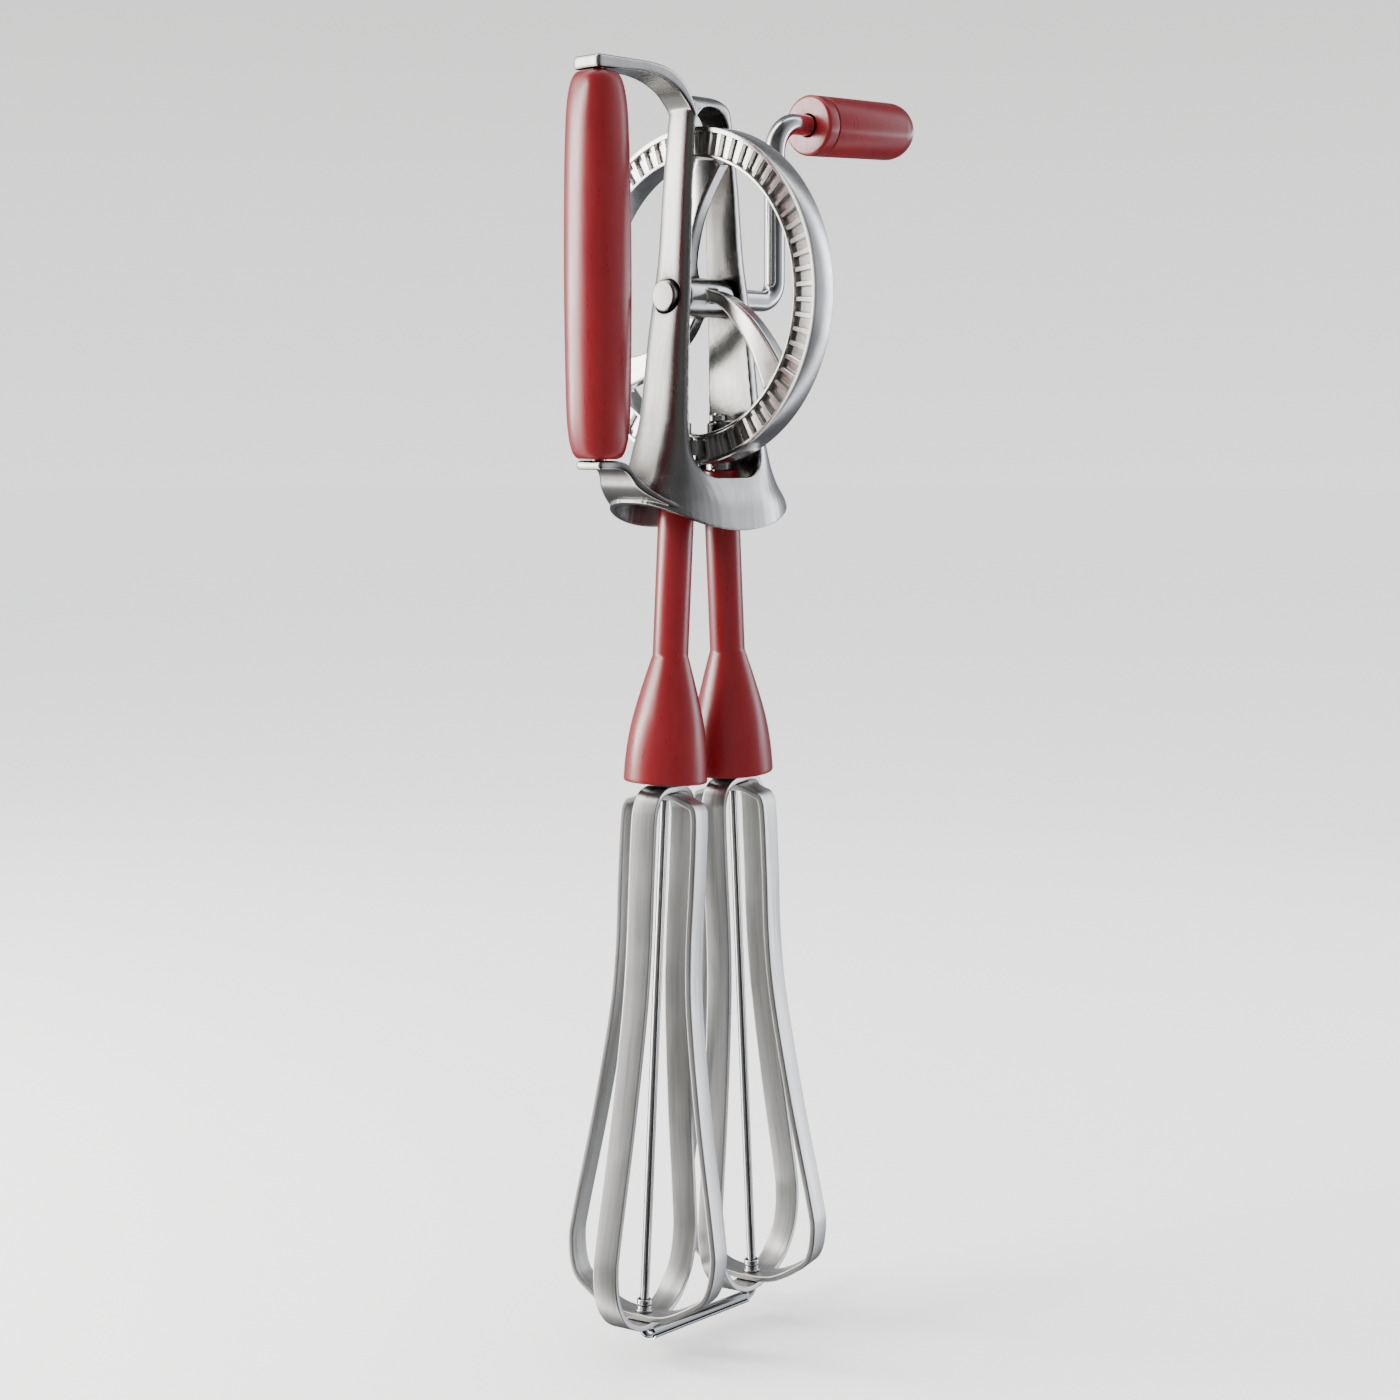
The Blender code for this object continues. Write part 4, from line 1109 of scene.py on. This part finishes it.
def finish_hidden_nodes():
    """Small and hidden CAD nodes keep their meshes and get the same finishes."""
    finishes = {part["node"]: part["material_slot"] for part in frame["record"]["subparts"]}
    for name, obj in frame["nodes"].items():
        obj.data.materials.clear()
        obj.data.materials.append(MATERIALS[finishes[name]])


# --------------------------------------------------------------------- studio

def make_stage():
    """Pale flat floor that runs out to the horizon."""
    bm = bmesh.new()
    bmesh.ops.create_circle(bm, cap_ends=True, segments=96, radius=FLOOR_REACH)
    mesh = to_mesh(bm)
    mesh.transform(Matrix.Translation((AXLE.x, AXLE.y, -FLOOR_GAP * MM)) @ Matrix.Scale(MM, 4))
    nodes = Material("floor")
    nodes.set("Base Color", FLOOR_TINT)
    nodes.set("Roughness", 0.9)
    mesh.materials.append(nodes.material)
    stage = bpy.data.objects.new("floor", mesh)
    stage.visible_glossy = False
    bpy.context.scene.collection.objects.link(stage)
    LIT.objects.link(stage)


def view_axes():
    """Level directions to the camera's right and straight ahead of it."""
    right = Vector((math.cos(CAMERA_TURN), math.sin(CAMERA_TURN), 0.0))
    ahead = Vector((-math.sin(CAMERA_TURN), math.cos(CAMERA_TURN), 0.0))
    return right, ahead


def make_camera():
    ahead = view_axes()[1]
    look = ahead * math.cos(CAMERA_DROP) - Vector((0, 0, 1)) * math.sin(CAMERA_DROP)
    data = bpy.data.cameras.new("camera")
    data.lens = CAMERA_LENS
    data.sensor_width = CAMERA_SENSOR
    data.clip_start = 0.01
    camera = bpy.data.objects.new("camera", data)
    camera.location = AXLE + CAMERA_AT * MM
    camera.rotation_euler = look.to_track_quat("-Z", "Y").to_euler()
    bpy.context.scene.collection.objects.link(camera)
    bpy.context.scene.camera = camera


def add_softbox(name, offset, size, power, colour):
    """Area light aimed at the object; the offset is right, ahead, up."""
    right, ahead = view_axes()
    low, high = CAD_BOX
    centre = Vector(((low[0] + high[0]) / 2.0, 0.0, (low[2] + high[2]) / 2.0))
    data = bpy.data.lights.new(name, "AREA")
    data.shape = "RECTANGLE"
    data.size, data.size_y = size
    data.energy = power
    data.color = colour
    light = bpy.data.objects.new(name, data)
    light.location = centre + right * offset[0] + ahead * offset[1] + Vector((0, 0, offset[2]))
    light.rotation_euler = (centre - light.location).to_track_quat("-Z", "Z").to_euler()
    light.light_linking.receiver_collection = LIT
    bpy.context.scene.collection.objects.link(light)


def make_world():
    """Even light for the scene; reflections see softboxes and dark flags."""
    world = bpy.data.worlds.new("studio")
    world.use_nodes = True
    world.node_tree.nodes.clear()
    nodes = Nodes(world.node_tree)
    coords = nodes.add("ShaderNodeTexCoord").outputs["Generated"]
    facing = {"Vector": coords, "Rotation": (0.0, 0.0, -CAMERA_TURN)}
    turned = nodes.add("ShaderNodeMapping", None, facing).outputs["Vector"]
    split = nodes.add("ShaderNodeSeparateXYZ", None, {"Vector": turned}).outputs
    around = nodes.math("ARCTAN2", split["X"], split["Y"])
    turns = nodes.math("ADD", nodes.math("DIVIDE", around, 2.0 * math.pi), 0.5)
    upright = nodes.math("MULTIPLY_ADD", split["Z"], 0.5, 0.5)
    brightest = max(level for _, level, _ in STUDIO_WALLS)
    walls = [(place, tuple(level / brightest * part for part in tone)) for place, level, tone in STUDIO_WALLS]
    studio = nodes.mix(1.0, nodes.ramp(turns, walls), nodes.ramp(upright, STUDIO_HEIGHTS), "MULTIPLY")
    mirrored = nodes.background(studio, brightest)
    even = nodes.background(EVEN_TINT, EVEN_LIGHT)
    seen = nodes.background(nodes.ramp(upright, BACKDROP), BACKDROP_LIGHT)
    rays = nodes.add("ShaderNodeLightPath").outputs
    lighting = nodes.choice(rays["Is Glossy Ray"], even, mirrored)
    surface = nodes.choice(rays["Is Camera Ray"], lighting, seen)
    nodes.add("ShaderNodeOutputWorld", None, {"Surface": surface})
    bpy.context.scene.world = world


def build():
    finish_hidden_nodes()
    build_casting()
    build_grip()
    build_knob()
    build_rim()
    build_spider()
    build_crank()
    build_wires()
    for side, _ in SIDES:
        place = joint_place(side + "_beater_spin")
        build_loops(side, place)
        build_sleeve(side, place)
        build_small_turned(side, place)
    make_stage()
    make_world()
    for softbox in SOFTBOXES:
        add_softbox(*softbox)
    make_camera()


build()
